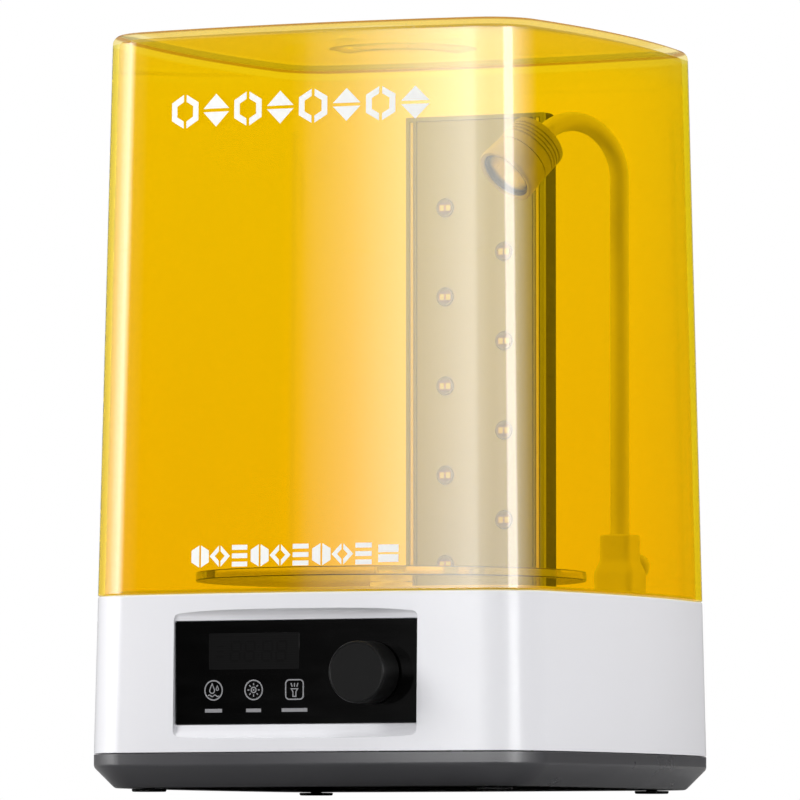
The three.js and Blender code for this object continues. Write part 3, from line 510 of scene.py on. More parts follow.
def shell(profile, first=(), last=(), steps=4):
    """A skin through the outline along a line of (inset, height, fillet) points."""
    bm = bmesh.new()
    rings = [ring(z, inset) for inset, z in soften(profile, steps)]
    skin(bm, [*first, *rings, *last])
    return bm


def front_y(x, z):
    """Y of the outline's front face at a place on it."""
    scale = draft_scale(z)
    across = x / scale
    return MIDDLE_Y + scale * (-BACK_Y - math.sqrt(BACK_RADIUS ** 2 - across ** 2))


# ---- Materials ----

def surface(name):
    """A new material, its nodes and its place vector."""
    material = bpy.data.materials.new(name)
    material.use_nodes = True
    n = Nodes(material.node_tree)
    return material, n, n.place()


def principled(n, colour, roughness, normal=None, **constants):
    """A Principled surface. Names of constants use _ for the spaces of their sockets."""
    inputs = {"Base Color": colour, "Roughness": roughness}
    if normal is not None:
        inputs["Normal"] = normal
    for key, value in constants.items():
        inputs[key.replace("_", " ")] = value
    return n.add("ShaderNodeBsdfPrincipled", inputs)


def output(n, shader):
    n.add("ShaderNodeOutputMaterial", {"Surface": shader.outputs[0]})


def tinted(colour, share):
    """A darker or a lighter shade of a colour."""
    return tuple(min(1.0, channel * share) for channel in colour[:3]) + (1.0,)


def moulded(name, colour, roughness, grain=0.02 * MM, grain_size=0.5 * MM, mottle=0.02, **constants):
    """Moulded plastic or rubber: a fine spark-eroded grain and a faint unevenness in tone and gloss."""
    material, n, place = surface(name)
    uneven = n.noise(place, 18.0)
    colour_out = n.mix(uneven, tinted(colour, 1 - mottle), tinted(colour, 1 + mottle))
    gloss = n.span(n.noise(place, 42.0, 5.0), 0.3, 0.7, roughness * 0.9, roughness * 1.1)
    height = n.noise(place, 1 / grain_size, 2.0)
    output(n, principled(n, colour_out, gloss, n.bump(height, 0.6, grain), **constants))
    return material


def white_plastic():
    name = "white plastic"
    return moulded(name, (0.80, 0.80, 0.825), 0.2, 0.006 * MM, 0.7 * MM, 0.006, Specular_IOR_Level=0.27)


def dark_plastic():
    name = "dark tray plastic"
    return moulded(name, (0.046, 0.046, 0.05), 0.3, 0.02 * MM, 0.6 * MM, 0.05, Specular_IOR_Level=0.42)


def rubber():
    return moulded("foot rubber", (0.02, 0.02, 0.02), 0.8, 0.05 * MM, 0.8 * MM, 0.15)


def black_gloss():
    """Polished black acrylic, with the faint haze of a wiped surface."""
    material, n, place = surface("black panel gloss")
    haze = n.noise(n.stretch(place, (40, 40, 160)), 1.0, 4.0)
    colour = n.mix(haze, grey(0.0012), grey(0.002))
    gloss = n.span(haze, 0.35, 0.7, 0.05, 0.09)
    output(n, principled(n, colour, gloss, Specular_IOR_Level=0.16))
    return material


def display_glass():
    """The window over the display: a slightly paler black, with the fine pitch of a screen behind it."""
    material, n, place = surface("display window")
    pitch = n.add("ShaderNodeTexWave", {"Vector": place, "Scale": 320.0}, bands_direction="Z").outputs[0]
    colour = n.mix(pitch, grey(0.0072), grey(0.0086))
    gloss = n.span(n.noise(place, 60.0), 0.3, 0.7, 0.04, 0.06)
    output(n, principled(n, colour, gloss, Specular_IOR_Level=0.16))
    return material


def ink(name, colour, patchy=0.06, shine=0.15):
    """Screen-printed ink: matt, slightly patchy, with a fine mesh texture."""
    material, n, place = surface(name)
    patches = n.noise(place, 900.0, 3.0)
    colour_out = n.mix(patches, tinted(colour, 1 - patchy), tinted(colour, 1 + patchy))
    weave = n.noise(place, 4000.0, 1.0)
    gloss = n.span(patches, 0.3, 0.7, 0.5, 0.62)
    normal = n.bump(weave, 0.3, 0.01 * MM)
    output(n, principled(n, colour_out, gloss, normal, Specular_IOR_Level=shine))
    return material


def knob_satin():
    """Satin black, turned: very fine rings round the knob's axis."""
    material, n, place = surface("knob satin black")
    centre = (KNOB_LOW + KNOB_HIGH) / 2
    moved = n.add("ShaderNodeVectorMath", {0: place, 1: centre}, operation="SUBTRACT").outputs[0]
    axes = n.add("ShaderNodeSeparateXYZ", {"Vector": moved}).outputs
    radius = n.math("POWER", n.math("ADD", n.math("POWER", axes["X"], 2.0), n.math("POWER", axes["Z"], 2.0)), 0.5)
    turns = n.math("SINE", n.math("MULTIPLY", radius, 2 * math.pi / (0.35 * MM)))
    colour = n.mix(n.noise(place, 200.0), grey(0.0042), grey(0.0054))
    gloss = n.span(turns, -1.0, 1.0, 0.28, 0.34)
    normal = n.bump(turns, 0.15, 0.004 * MM)
    output(n, principled(n, colour, gloss, normal, Specular_IOR_Level=0.09))
    return material


def amber_acrylic():
    """Amber acrylic. Each face tints what passes it, and lamp light comes straight through, tinted.

    The sheet is drawn as a thin one: what is behind it isn't bent aside, and its gloss is a coat. Its tint also carries
    painted light: paler towards the top and on the right and back walls, paler still on the round top edge, with a
    painted dark line along that edge.
    """
    material, n, place = surface("amber acrylic")
    axes = n.add("ShaderNodeSeparateXYZ", {"Vector": place}).outputs
    height = axes["Z"]
    # Painted light: the tint grows paler towards the top, standing in for the brighter light on the upper cover.
    rise = n.span(height, COVER_LOW.z, COVER_HIGH.z, 0.0, 1.0)
    tint = n.mix(rise, (0.938, 0.668, 0.014, 1), (0.938, 0.735, 0.014, 1))
    flow = n.noise(n.stretch(place, (9, 9, 3)), 1.0, 2.0)
    tint = n.mix(n.span(flow, 0.3, 0.7, 0.0, 0.12), tint, (0.938, 0.70, 0.010, 1))
    # Painted light: the right and back walls get a lighter tint, standing in for the brighter light seen through them.
    right = n.span(axes["X"], 0.85 * HALF_WIDTH, 0.93 * HALF_WIDTH, 0.0, 1.0)
    back = n.span(axes["Y"], 0.80 * HALF_DEPTH, 0.88 * HALF_DEPTH, 0.0, 1.0)
    tint = n.mix(n.math("MAXIMUM", right, back), tint, n.mix(1.0, tint, (1.06, 1.03, 1.0, 1), "MULTIPLY"))
    # Painted highlight: a paler band fades in below the round top edge.
    shoulder = n.span(height, TOP - 18 * MM, TOP - 5 * MM, 0.0, 1.0)
    tint = n.mix(shoulder, tint, (0.945, 0.745, 0.05, 1))
    # Painted highlight: above the start of the round top edge, the edge and the top face take a much paler tint.
    tint = n.mix(n.span(height, TOP - 4.6 * MM, TOP - 4.5 * MM, 0.0, 1.0), tint, (0.95, 0.80, 0.35, 1))
    below_top = n.span(height, TOP - 0.06 * MM, TOP - 0.03 * MM, 1.0, 0.0)
    # Painted shade: a band near the crown of the round top edge, away from the dish, for the dark line that real
    # acrylic gets from bending light.
    painted_edge_line = n.math("MULTIPLY", n.span(height, TOP - 1.5 * MM, TOP - 0.9 * MM, 0.0, 1.0), below_top)
    round_part = n.math("MULTIPLY", n.span(height, TOP - 4.8 * MM, TOP - 4.3 * MM, 0.0, 1.0), below_top)
    level = n.add("ShaderNodeVectorMath", {0: n.stretch(place, (1, 1, 0))}, operation="LENGTH").outputs["Value"]
    painted_edge_line = n.math("MULTIPLY", painted_edge_line, n.math("GREATER_THAN", level, 50 * MM))
    round_part = n.math("MULTIPLY", round_part, n.math("GREATER_THAN", level, 50 * MM))
    shine = n.span(round_part, 0.0, 1.0, 1.0, 0.1)
    # Painted shade: the dark brown line along the top edge.
    tint = n.mix(painted_edge_line, tint, (0.36, 0.16, 0.05, 1))
    gloss = n.span(n.noise(place, 25.0), 0.3, 0.7, 0.0, 0.02)
    glass = principled(
        n, tint, gloss, IOR=1.002, Transmission_Weight=1.0, Coat_Weight=shine, Coat_Roughness=0.02, Coat_IOR=1.49
    )
    lit = n.add("ShaderNodeBsdfTransparent", {"Color": (1.0, 0.87, 0.12, 1)})
    shadow = n.add("ShaderNodeLightPath").outputs["Is Shadow Ray"]
    mixed = n.add("ShaderNodeMixShader", {0: shadow, 1: glass.outputs[0], 2: lit.outputs[0]})
    output(n, mixed)
    return material


def clear_plastic(name, tint, roughness, shade):
    """Clear moulded plastic that lets lamp light straight through, with a faint cloud in its gloss."""
    material, n, place = surface(name)
    cloud = n.noise(place, 60.0)
    colour = n.mix(cloud, tinted(tint, 0.97), tinted(tint, 1.0))
    gloss = n.span(cloud, 0.3, 0.7, roughness * 0.8, roughness * 1.2)
    glass = principled(n, colour, gloss, IOR=1.49, Transmission_Weight=1.0)
    lit = n.add("ShaderNodeBsdfTransparent", {"Color": grey(shade)})
    shadow = n.add("ShaderNodeLightPath").outputs["Is Shadow Ray"]
    mixed = n.add("ShaderNodeMixShader", {0: shadow, 1: glass.outputs[0], 2: lit.outputs[0]})
    output(n, mixed)
    return material


def metal(name, colour, roughness, stretch, scale):
    """Brushed or turned metal: fine streaks along one axis."""
    material, n, place = surface(name)
    streaks = n.noise(n.stretch(place, stretch), scale, 4.0, 0.7)
    colour_out = n.mix(streaks, tinted(colour, 0.92), tinted(colour, 1.04))
    gloss = n.span(streaks, 0.3, 0.7, roughness * 0.8, roughness * 1.25)
    output(n, principled(n, colour_out, gloss, n.bump(streaks, 0.2, 0.01 * MM), Metallic=1.0))
    return material


def circuit_board():
    """Green solder mask over a grid of copper tracks, with pale pads."""
    material, n, place = surface("circuit board")
    grid = n.add("ShaderNodeTexBrick", {"Vector": n.stretch(place, (400, 400, 400)), "Scale": 1.0}).outputs[1]
    tracks = n.noise(n.stretch(place, (600, 90, 90)), 1.0, 2.0)
    mask = n.mix(n.span(tracks, 0.45, 0.55, 0.0, 1.0), (0.010, 0.085, 0.035, 1), (0.016, 0.125, 0.05, 1))
    colour = n.mix(n.math("MULTIPLY", grid, 0.6), mask, (0.30, 0.28, 0.18, 1))
    output(n, principled(n, colour, n.span(tracks, 0.4, 0.6, 0.3, 0.45), n.bump(tracks, 0.3, 0.03 * MM)))
    return material


def led_chip():
    """Cream phosphor with a fine grain."""
    return moulded("led phosphor", (0.98, 0.90, 0.68), 0.5, 0.02 * MM, 0.2 * MM, 0.06)


WHITE = white_plastic()
DARK = dark_plastic()
RUBBER = rubber()
GLOSS = black_gloss()
SATIN = knob_satin()
AMBER = amber_acrylic()
CLEAR = clear_plastic("turntable acrylic", (0.96, 0.97, 0.95), 0.06, 0.97)
LED_CLEAR = clear_plastic("led resin", (0.99, 0.98, 0.94), 0.02, 0.97)
LENS_CLEAR = clear_plastic("lamp lens acrylic", (0.99, 0.97, 0.90), 0.05, 0.97)
MID_GREY = moulded("neck grey", (0.86, 0.85, 0.80), 0.45, 0.02 * MM, 0.6 * MM, 0.03)
LAMP_GREY = moulded("lamp grey", (0.44, 0.43, 0.40), 0.36, 0.015 * MM, 0.5 * MM, 0.03)
PALE_GREY = moulded("pillar plate grey", (0.405, 0.455, 0.448), 0.34, 0.001 * MM, 0.6 * MM, 0.02)
PILLAR_DARK = moulded("pillar dark plastic", (0.022, 0.020, 0.019), 0.38, 0.02 * MM, 0.6 * MM, 0.05, Specular_IOR_Level=0.2)
BLACK_PART = moulded("black moulding", (0.018, 0.018, 0.019), 0.4, 0.02 * MM, 0.5 * MM, 0.08)
SILVER = metal("bright strip", (0.78, 0.77, 0.74), 0.24, (300, 300, 8), 4.0)
STEEL = metal("steel", (0.58, 0.58, 0.60), 0.3, (300, 300, 300), 3.0)
CHIP = led_chip()
COLLAR = moulded("led collar", (0.38, 0.37, 0.36), 0.4, 0.004 * MM, 0.3 * MM, 0.04)
PANEL_INK = ink("panel ink", (0.27, 0.27, 0.28))
GHOST_INK = ink("unlit segments", (0.0045, 0.0045, 0.0045), 0.06, 0.02)
COVER_INK = ink("cover ink", (0.95, 0.95, 0.92), 0.01)
DISPLAY = display_glass()
BOARD = circuit_board()
LEAD = moulded("lead insulation", (0.03, 0.03, 0.032), 0.5, 0.02 * MM, 0.6 * MM, 0.1)
MOTOR_CAN = metal("motor can", (0.50, 0.50, 0.50), 0.34, (40, 40, 600), 3.0)
MAGNET = metal("magnet nickel", (0.62, 0.61, 0.58), 0.18, (90, 90, 90), 2.0)


# ---- Tray and feet ----

TURNTABLE_Y = (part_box("turntable_disc")[0].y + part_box("turntable_disc")[1].y) / 2
UP = Vector((0, 0, 1))
FRONT = Vector((0, -1, 0))
BACK = Vector((0, 1, 0))


def rod(x, y, low, high, radius, count=24):
    return turned([(0, low, 0), (radius, low, 0), (radius, high, 0), (0, high, 0)], Vector((x, y, 0)), UP, count)


def middle(node):
    low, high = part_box(node)
    return (low + high) / 2


TRAY_SCREWS = [name for name in frame["nodes"] if name.startswith("tray_screw_")]
FEET = [name for name in frame["nodes"] if name.startswith("foot_")]


def add_tray():
    """The dark tray: chamfered below, with an open inside, screw recesses and foot holes."""
    floor = TRAY_LOW.z + 3 * MM
    chamfer = CREASE - TRAY_LOW.z
    top = SEAM - GAP
    profile = [
        (chamfer + 12 * MM, TRAY_LOW.z, 0),
        (chamfer, TRAY_LOW.z, 1.2 * MM),
        (0, CREASE, 1.0 * MM),
        (0, top, 0.3 * MM),
        (SHELL_WALL, top, 0.3 * MM),
        (SHELL_WALL, CREASE + MM, 1.0 * MM),
        (chamfer + 2 * MM, floor, 1.0 * MM),
        (chamfer + 12 * MM, floor, 0),
    ]
    hub_low = [Vector((0, MIDDLE_Y, TRAY_LOW.z))]
    hub_high = [Vector((0, MIDDLE_Y, floor))]
    tray = shell(profile, [hub_low], [hub_high])
    holes = []
    for name in TRAY_SCREWS:
        place = middle(name)
        holes.append(rod(place.x, place.y, -MM, TRAY_LOW.z + 1.8 * MM, 3.4 * MM))
        holes.append(rod(place.x, place.y, -MM, floor + MM, 1.6 * MM))
    for name in FEET:
        place = middle(name)
        holes.append(rod(place.x, place.y, -MM, floor + MM, 2.6 * MM))
    piece("tray_case", cut(tray, *holes), "base", DARK, ["bottom_tray"])


def add_foot(name):
    """A push-in rubber foot: a domed disc with a fine groove near its edge, and a barbed stem."""
    low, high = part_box(name)
    radius = (high.x - low.x) / 2
    disc = TRAY_LOW.z - GAP
    stem = 2.4 * MM
    profile = [
        (0, 0.25 * MM, 0),
        (radius * 0.62, 0.25 * MM, 0.1 * MM),
        (radius * 0.68, 0, 0.1 * MM),
        (radius - 0.3 * MM, 0, 0.5 * MM),
        (radius, 0.6 * MM, 0.3 * MM),
        (radius, disc, 0.2 * MM),
        (stem, disc, 0),
        (stem, disc + 3.6 * MM, 0),
        (stem + 1.2 * MM, disc + 3.6 * MM, 0.2 * MM),
        (stem - 0.6 * MM, high.z, 0.3 * MM),
        (0, high.z, 0),
    ]
    centre = Vector((middle(name).x, middle(name).y, 0))
    piece(f"rubber_{name}", turned(profile, centre, UP), "base", RUBBER, [name])


# ---- White case ----

POCKET_UP = 4.6 * MM         # how far the pocket flares above and below the panel, and how deep it is
POCKET_DOWN = 5.8 * MM
POCKET_DEPTH = 4.6 * MM
SERVICE_LOW, SERVICE_HIGH = Vector((-84, 0, 33)) * MM, Vector((-22, 0, 63)) * MM
SERVICE_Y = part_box("switch_housing")[1].y - 1.8 * MM
VENT = {"left": 22 * MM, "pitch": 7 * MM, "count": 8, "width": 3 * MM, "low": 39 * MM, "high": 57 * MM}


def pocket_ring(y, down, up):
    low = PANEL_LOW.z - GAP - down
    high = PANEL_HIGH.z + GAP + up
    width = PANEL_HIGH.x - PANEL_LOW.x + 2 * GAP
    points = rounded_rectangle(width, high - low, MM + 0.4 * up, 6)
    return [Vector((p.x, y, p.y + (low + high) / 2)) for p in points]


def panel_pocket():
    """The scooped pocket round the panel, whose lips flare out above and below it."""
    steps = 14
    rings = [pocket_ring(PANEL_HIGH.y + GAP, 0, 0)]
    for i in range(steps + 1):
        share = i / steps
        rise = math.sqrt(1 - (1 - share) ** 2)
        rings.append(pocket_ring(PANEL_Y - POCKET_DEPTH * share, POCKET_DOWN * rise, POCKET_UP * rise))
    rings.append(pocket_ring(SHELL_LOW.y - 2 * MM, POCKET_DOWN, POCKET_UP))
    centre_z = (PANEL_LOW.z + PANEL_HIGH.z) / 2
    bm = bmesh.new()
    ends = [Vector((0, y, centre_z)) for y in (PANEL_HIGH.y + GAP, SHELL_LOW.y - 2 * MM)]
    skin(bm, [[ends[0]], *rings, [ends[1]]])
    return bm


def slot_cutter(x0, x1, z0, z1):
    """An upright slot with round ends, through the back wall."""
    points = rounded_rectangle(x1 - x0, z1 - z0, (x1 - x0) / 2 - 1e-5, 6)
    return prism(points, Vector(((x0 + x1) / 2, 95 * MM, (z0 + z1) / 2)), 35 * MM)


def prism(points, centre, length):
    """A flat outline in X and Z, drawn out along +Y."""
    bm = bmesh.new()
    near = [centre + Vector((p.x, 0, p.y)) for p in points]
    far = [p + Vector((0, length, 0)) for p in near]
    skin(bm, [[centre], near, far, [centre + Vector((0, length, 0))]])
    return bm


def case_body():
    """The case before its cuts: outside, rim and deck above, and the open inside below."""
    ceiling = DECK - 5 * MM
    inner = RIM_INSET + 3 * MM
    recess = 46 * MM
    profile = [
        (SHELL_WALL, SEAM, 0.2 * MM),
        (0, SEAM, 0.35 * MM),
        (0, SEAT, 0.8 * MM),
        (RIM_INSET, SEAT, 0.2 * MM),
        (RIM_INSET, RIM, 0.5 * MM),
        (inner, RIM, 0.5 * MM),
        (inner, DECK, 0.8 * MM),
        (inner + 12 * MM, DECK, 0),
    ]
    deck = []
    for radius, height in soften([
        (recess + 3 * MM, DECK, 0),
        (recess, DECK, 0.5 * MM),
        (recess, DECK - 2 * MM, 0.5 * MM),
        (recess - 4 * MM, DECK - 2 * MM, 0),
    ]):
        deck.append(round_ring(height, radius, TURNTABLE_Y))
    deck.append([Vector((0, TURNTABLE_Y, DECK - 2 * MM))])
    under = [[Vector((0, MIDDLE_Y, ceiling))], ring(ceiling, SHELL_WALL + 20 * MM), ring(ceiling, SHELL_WALL)]
    return shell(profile, under, deck)


def back_cuts():
    outside = SHELL_HIGH.y + 4 * MM
    cuts = [block((SERVICE_LOW.x, SERVICE_Y, SERVICE_LOW.z), (SERVICE_HIGH.x, outside, SERVICE_HIGH.z), MM)]
    switch = middle("switch_housing")
    inlet = middle("dc_inlet")
    half_x, half_z = 7.0 * MM, 10.5 * MM
    cuts.append(block((switch.x - half_x, 95 * MM, switch.z - half_z), (switch.x + half_x, outside, switch.z + half_z)))
    hole = [(0, -20 * MM, 0), (6.2 * MM, -20 * MM, 0), (6.2 * MM, 10 * MM, 0), (0, 10 * MM, 0)]
    cuts.append(turned(hole, Vector((inlet.x, SERVICE_Y, inlet.z)), BACK, 32))
    for i in range(VENT["count"]):
        x = VENT["left"] + i * VENT["pitch"]
        cuts.append(slot_cutter(x, x + VENT["width"], VENT["low"], VENT["high"]))
    return cuts


def add_case():
    """The white case: bowed sides, rim and deck, panel pocket, bosses, posts and the cuts on the back."""
    ceiling = DECK - 5 * MM
    width = PANEL_HIGH.x + 4.5 * MM
    front_boss = combine(
        block((-width, SHELL_LOW.y, PANEL_LOW.z - 9 * MM), (width, PANEL_Y + 5 * MM, ceiling + MM)),
        [case_core()],
        "INTERSECT",
    )
    margin = 3 * MM
    back_boss = combine(
        block(
            (SERVICE_LOW.x - margin, SERVICE_Y - 3.6 * MM, SERVICE_LOW.z - margin),
            (SERVICE_HIGH.x + margin, SHELL_HIGH.y, SERVICE_HIGH.z + margin),
        ),
        [case_core()],
        "INTERSECT",
    )
    spigot_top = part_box("turntable_hub")[1].z - 6 * MM
    posts = [rod(0, TURNTABLE_Y, ceiling + MM, spigot_top, 4 * MM)]
    holes = []
    for name in TRAY_SCREWS:
        place = middle(name)
        posts.append(rod(place.x, place.y, TRAY_LOW.z + 3.3 * MM, ceiling + MM, 4 * MM))
        holes.append(rod(place.x, place.y, TRAY_LOW.z, SEAM + 2 * MM, 1.6 * MM))
    for name in ("bracket_screw_left", "bracket_screw_right"):
        place = middle(name)
        bracket_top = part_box("motor_bracket")[1].z
        posts.append(rod(place.x, place.y, bracket_top + GAP, ceiling + MM, 3.5 * MM))
        holes.append(rod(place.x, place.y, bracket_top - 3 * MM, bracket_top + 9 * MM, 1.6 * MM))
    body = join(case_body(), front_boss, back_boss, *posts)
    window = block((-49 * MM, PANEL_Y - 2 * MM, 33 * MM), (49 * MM, PANEL_Y + 7 * MM, 68 * MM))
    body = cut(body, panel_pocket(), window, *holes, *back_cuts())
    piece("case", body, "base", WHITE, ["base_shell"])


def case_core():
    """The case's outside as one solid, to trim its bosses."""
    half_wall = 0.5 * SHELL_WALL
    top = [Vector((0, MIDDLE_Y, SEAT - MM))]
    bottom = [Vector((0, MIDDLE_Y, SEAM + MM))]
    return shell([(half_wall, SEAM + MM, 0), (half_wall, SEAT - MM, 0)], [bottom], [top])


# ---- Cover ----

def add_cover():
    """The amber cover: one shell with round edges, open below, with a shallow round dish on top."""
    edge = 4 * MM
    dish, depth = 27 * MM, 1.4 * MM
    inner_top = TOP - COVER_WALL
    inner_edge = 2.5 * MM
    bottom = COVER_LOW.z
    outside = [(0.9 * MM, bottom, 0), (0, bottom, 0.45 * MM)]
    rings = []
    for inset, z in soften([
        (COVER_WALL, bottom + 0.01 * MM, 0),
        (0, bottom, 0.5 * MM),
        (0, TOP - edge, 0),
    ]):
        rings.append(ring(z, inset))
    rings.extend(edge_rings(0, TOP, edge, 10))
    rings.append(ring(TOP, edge + 8 * MM))
    for radius, height in soften([
        (dish + 5 * MM, TOP, 0),
        (dish, TOP, 4 * MM),
        (dish - 5 * MM, TOP - depth, 4 * MM),
        (dish - 12 * MM, TOP - depth, 0),
    ]):
        rings.append(round_ring(height, radius, MIDDLE_Y))
    rings.append([Vector((0, MIDDLE_Y, TOP - depth))])
    inside = [ring(bottom + 0.3 * MM, COVER_WALL), ring(inner_top - inner_edge, COVER_WALL)]
    inside.extend(edge_rings(COVER_WALL, inner_top, inner_edge, 8))
    inside.append(ring(inner_top, COVER_WALL + inner_edge + 8 * MM))
    boss = dish + COVER_WALL
    for radius, height in soften([
        (boss + 5 * MM, inner_top, 0),
        (boss, inner_top, 4 * MM),
        (boss - 5 * MM, inner_top - depth, 4 * MM),
        (boss - 12 * MM, inner_top - depth, 0),
    ]):
        inside.append(round_ring(height, radius, MIDDLE_Y))
    inside.append([Vector((0, MIDDLE_Y, inner_top - depth))])
    bm = bmesh.new()
    skin(bm, [*reversed(inside), *rings])
    piece("cover", bm, "cover", AMBER, ["cover_shell"], smooth=50)


def edge_rings(inset, top, radius, steps):
    """Rings round a quarter of a circle, from the wall into the top."""
    rings = []
    for i in range(steps + 1):
        angle = math.pi / 2 * i / steps
        rings.append(ring(top - radius + radius * math.sin(angle), inset + radius * (1 - math.cos(angle))))
    return rings


# ---- Printed marks ----

def ngon(sides, radius, turn=0.0):
    """Corners of a regular polygon; a turn of 0 has a corner at the top."""
    angles = [math.pi / 2 + turn + 2 * math.pi * i / sides for i in range(sides)]
    return [Vector((radius * math.cos(a), radius * math.sin(a))) for a in angles]


def bar(width, height):
    x, y = width / 2, height / 2
    return [Vector((x, y)), Vector((-x, y)), Vector((-x, -y)), Vector((x, -y))]


def add_flat(bm, outer, inner, x, z):
    """A flat face between two outlines with as many points, or all of one outline, in X and Z."""
    outer_verts = [bm.verts.new((x + p.x, 0, z + p.y)) for p in outer]
    if inner is None:
        bm.faces.new(outer_verts)
        return
    inner_verts = [bm.verts.new((x + p.x, 0, z + p.y)) for p in inner]
    count = len(outer)
    for i in range(count):
        j = (i + 1) % count
        bm.faces.new((outer_verts[i], outer_verts[j], inner_verts[j], inner_verts[i]))


def stencil(bm, x, z, gap, tall=True):
    """Takes a narrow band out of a mark, as a stencil's bridge does."""
    axis = Vector((1, 0, 0)) if tall else Vector((0, 0, 1))
    centre = Vector((x, 0, z))
    for side in (-1, 1):
        geom = bm.verts[:] + bm.edges[:] + bm.faces[:]
        bmesh.ops.bisect_plane(bm, geom=geom, plane_co=centre + axis * side * gap / 2, plane_no=axis, dist=1e-7)
    inside = [f for f in bm.faces if abs((f.calc_center_median() - centre).dot(axis)) < gap / 2]
    bmesh.ops.delete(bm, geom=inside, context="FACES")


def wrap_on_front(bm, proud, thickness):
    """Gives flat marks a thickness and lays them on the bowed front of the cover."""
    for i in range(-14, 15):
        geom = bm.verts[:] + bm.edges[:] + bm.faces[:]
        bmesh.ops.bisect_plane(bm, geom=geom, plane_co=(i * 5 * MM, 0, 0), plane_no=(1, 0, 0), dist=1e-7)
    bmesh.ops.remove_doubles(bm, verts=bm.verts[:], dist=1e-7)
    thicken(bm, thickness)
    for vert in bm.verts:
        vert.co.y = front_y(vert.co.x, vert.co.z) - proud + vert.co.y
    return bm


def thicken(bm, thickness):
    """Draws flat faces out towards the front, so that they are thin closed prisms."""
    grown = bmesh.ops.extrude_face_region(bm, geom=bm.faces[:], use_keep_orig=True)
    for item in grown["geom"]:
        if isinstance(item, bmesh.types.BMVert):
            item.co.y -= thickness


def upper_marks():
    """Eight stencilled shapes in a row: hexagon rings and solid diamonds by turns."""
    bm = bmesh.new()
    count, pitch, size, z = 8, 15.4 * MM, 7.6 * MM, 288 * MM
    for i in range(count):
        x = (i - (count - 1) / 2) * pitch
        mark = bmesh.new()
        if i % 2 == 0:
            add_flat(mark, ngon(6, size), ngon(6, size * 0.6), x, z)
            stencil(mark, x, z, 1.4 * MM)
        else:
            add_flat(mark, ngon(4, size * 0.92), None, x, z)
            stencil(mark, x, z, 1.4 * MM, tall=False)
        bm = gather(bm, mark)
    return wrap_on_front(bm, 0.02 * MM, 0.06 * MM)


def lower_marks():
    """A row of small stencilled shapes with a long bar at its end."""
    bm = bmesh.new()
    count, pitch, size, z = 9, 9.6 * MM, 4.9 * MM, 98.8 * MM
    left = -49 * MM + size
    for i in range(count):
        x = left + i * pitch
        mark = bmesh.new()
        if i % 3 == 2:
            for level in (-1, 0, 1):
                add_flat(mark, bar(1.5 * size, 0.42 * size), None, x, z + level * 0.72 * size)
        elif i % 3 == 1:
            add_flat(mark, ngon(4, size), ngon(4, size * 0.5), x, z)
            stencil(mark, x, z, 0.9 * MM)
        else:
            add_flat(mark, ngon(6, size), None, x, z)
            stencil(mark, x, z, 0.9 * MM)
        bm = gather(bm, mark)
    end = bmesh.new()
    add_flat(end, bar(9 * MM, 1.5 * size), None, left + count * pitch + 1.5 * MM, z)
    stencil(end, left + count * pitch + 1.5 * MM, z, 0.9 * MM, tall=False)
    return wrap_on_front(gather(bm, end), 0.02 * MM, 0.06 * MM)


def add_cover_marks():
    piece("cover_marks_upper", upper_marks(), "cover", COVER_INK)
    piece("cover_marks_lower", lower_marks(), "cover", COVER_INK)


# ---- Control panel ----

KNOB_CENTRE = Vector(((KNOB_LOW.x + KNOB_HIGH.x) / 2, PANEL_Y, (KNOB_LOW.z + KNOB_HIGH.z) / 2))
WINDOW_LOW, WINDOW_HIGH = Vector((-40.6, 0, 51)) * MM, Vector((1.6, 0, 66.3)) * MM
ICON_X = (-38.5 * MM, -19.7 * MM, -0.6 * MM)
ICON_Z = 42.3 * MM
ICON_SIZE = 8.7 * MM
STROKE = 0.55 * MM
PRINT = 0.03 * MM            # thickness of the print on the panel


def add_panel():
    """The glossy slab, with the knob's hole."""
    slab = block(PANEL_LOW, PANEL_HIGH)
    upright = [e for e in slab.edges if abs(e.verts[0].co.y - e.verts[1].co.y) > 1e-4]
    bmesh.ops.bevel(slab, geom=upright, offset=0.9 * MM, segments=6, profile=0.5, affect="EDGES")
    hole = [(0, -5 * MM, 0), (3.9 * MM, -5 * MM, 0), (3.9 * MM, 5 * MM, 0), (0, 5 * MM, 0)]
    slab = cut(slab, turned(hole, KNOB_CENTRE, FRONT, 48))
    round_edges(slab, 0.25 * MM, 3, 40)
    piece("panel_slab", slab, "base", GLOSS, ["control_panel"])


def add_window():
    """The display's window: a thin clear-edged tile, a touch paler than the slab."""
    centre = (WINDOW_LOW + WINDOW_HIGH) / 2
    points = rounded_rectangle(WINDOW_HIGH.x - WINDOW_LOW.x, WINDOW_HIGH.z - WINDOW_LOW.z, 0.5 * MM, 4)
    tile = prism(points, Vector((centre.x, PANEL_Y - 0.06 * MM, centre.z)), 0.05 * MM)
    piece("display_window", round_edges(tile, 0.015 * MM, 1, 50), "base", DISPLAY)


def stroke(bm, points, width, closed=False):
    """A flat ribbon along points in X and Z, with mitred corners."""
    count = len(points)
    lines = []
    for i, point in enumerate(points):
        before = points[i - 1] if i or closed else None
        after = points[(i + 1) % count] if i + 1 < count or closed else None
        ways = []
        if before is not None:
            ways.append((point - before).normalized())
        if after is not None:
            ways.append((after - point).normalized())
        along = sum(ways, Vector((0, 0))).normalized()
        side = Vector((-along.y, along.x))
        reach = width / 2 / max(0.5, side.dot(Vector((-ways[0].y, ways[0].x))))
        lines.append((point + side * reach, point - side * reach))
    rows = [[bm.verts.new((p.x, 0, p.y)) for p in line] for line in lines]
    pairs = list(zip(rows, rows[1:]))
    if closed:
        pairs.append((rows[-1], rows[0]))
    for first, second in pairs:
        bm.faces.new((first[0], second[0], second[1], first[1]))


def arc(x, z, radius, start, end, steps=24):
    """Points round part of a circle, angles in degrees."""
    points = []
    for i in range(steps + 1):
        angle = math.radians(start + (end - start) * i / steps)
        points.append(Vector((x + radius * math.cos(angle), z + radius * math.sin(angle))))
    return points


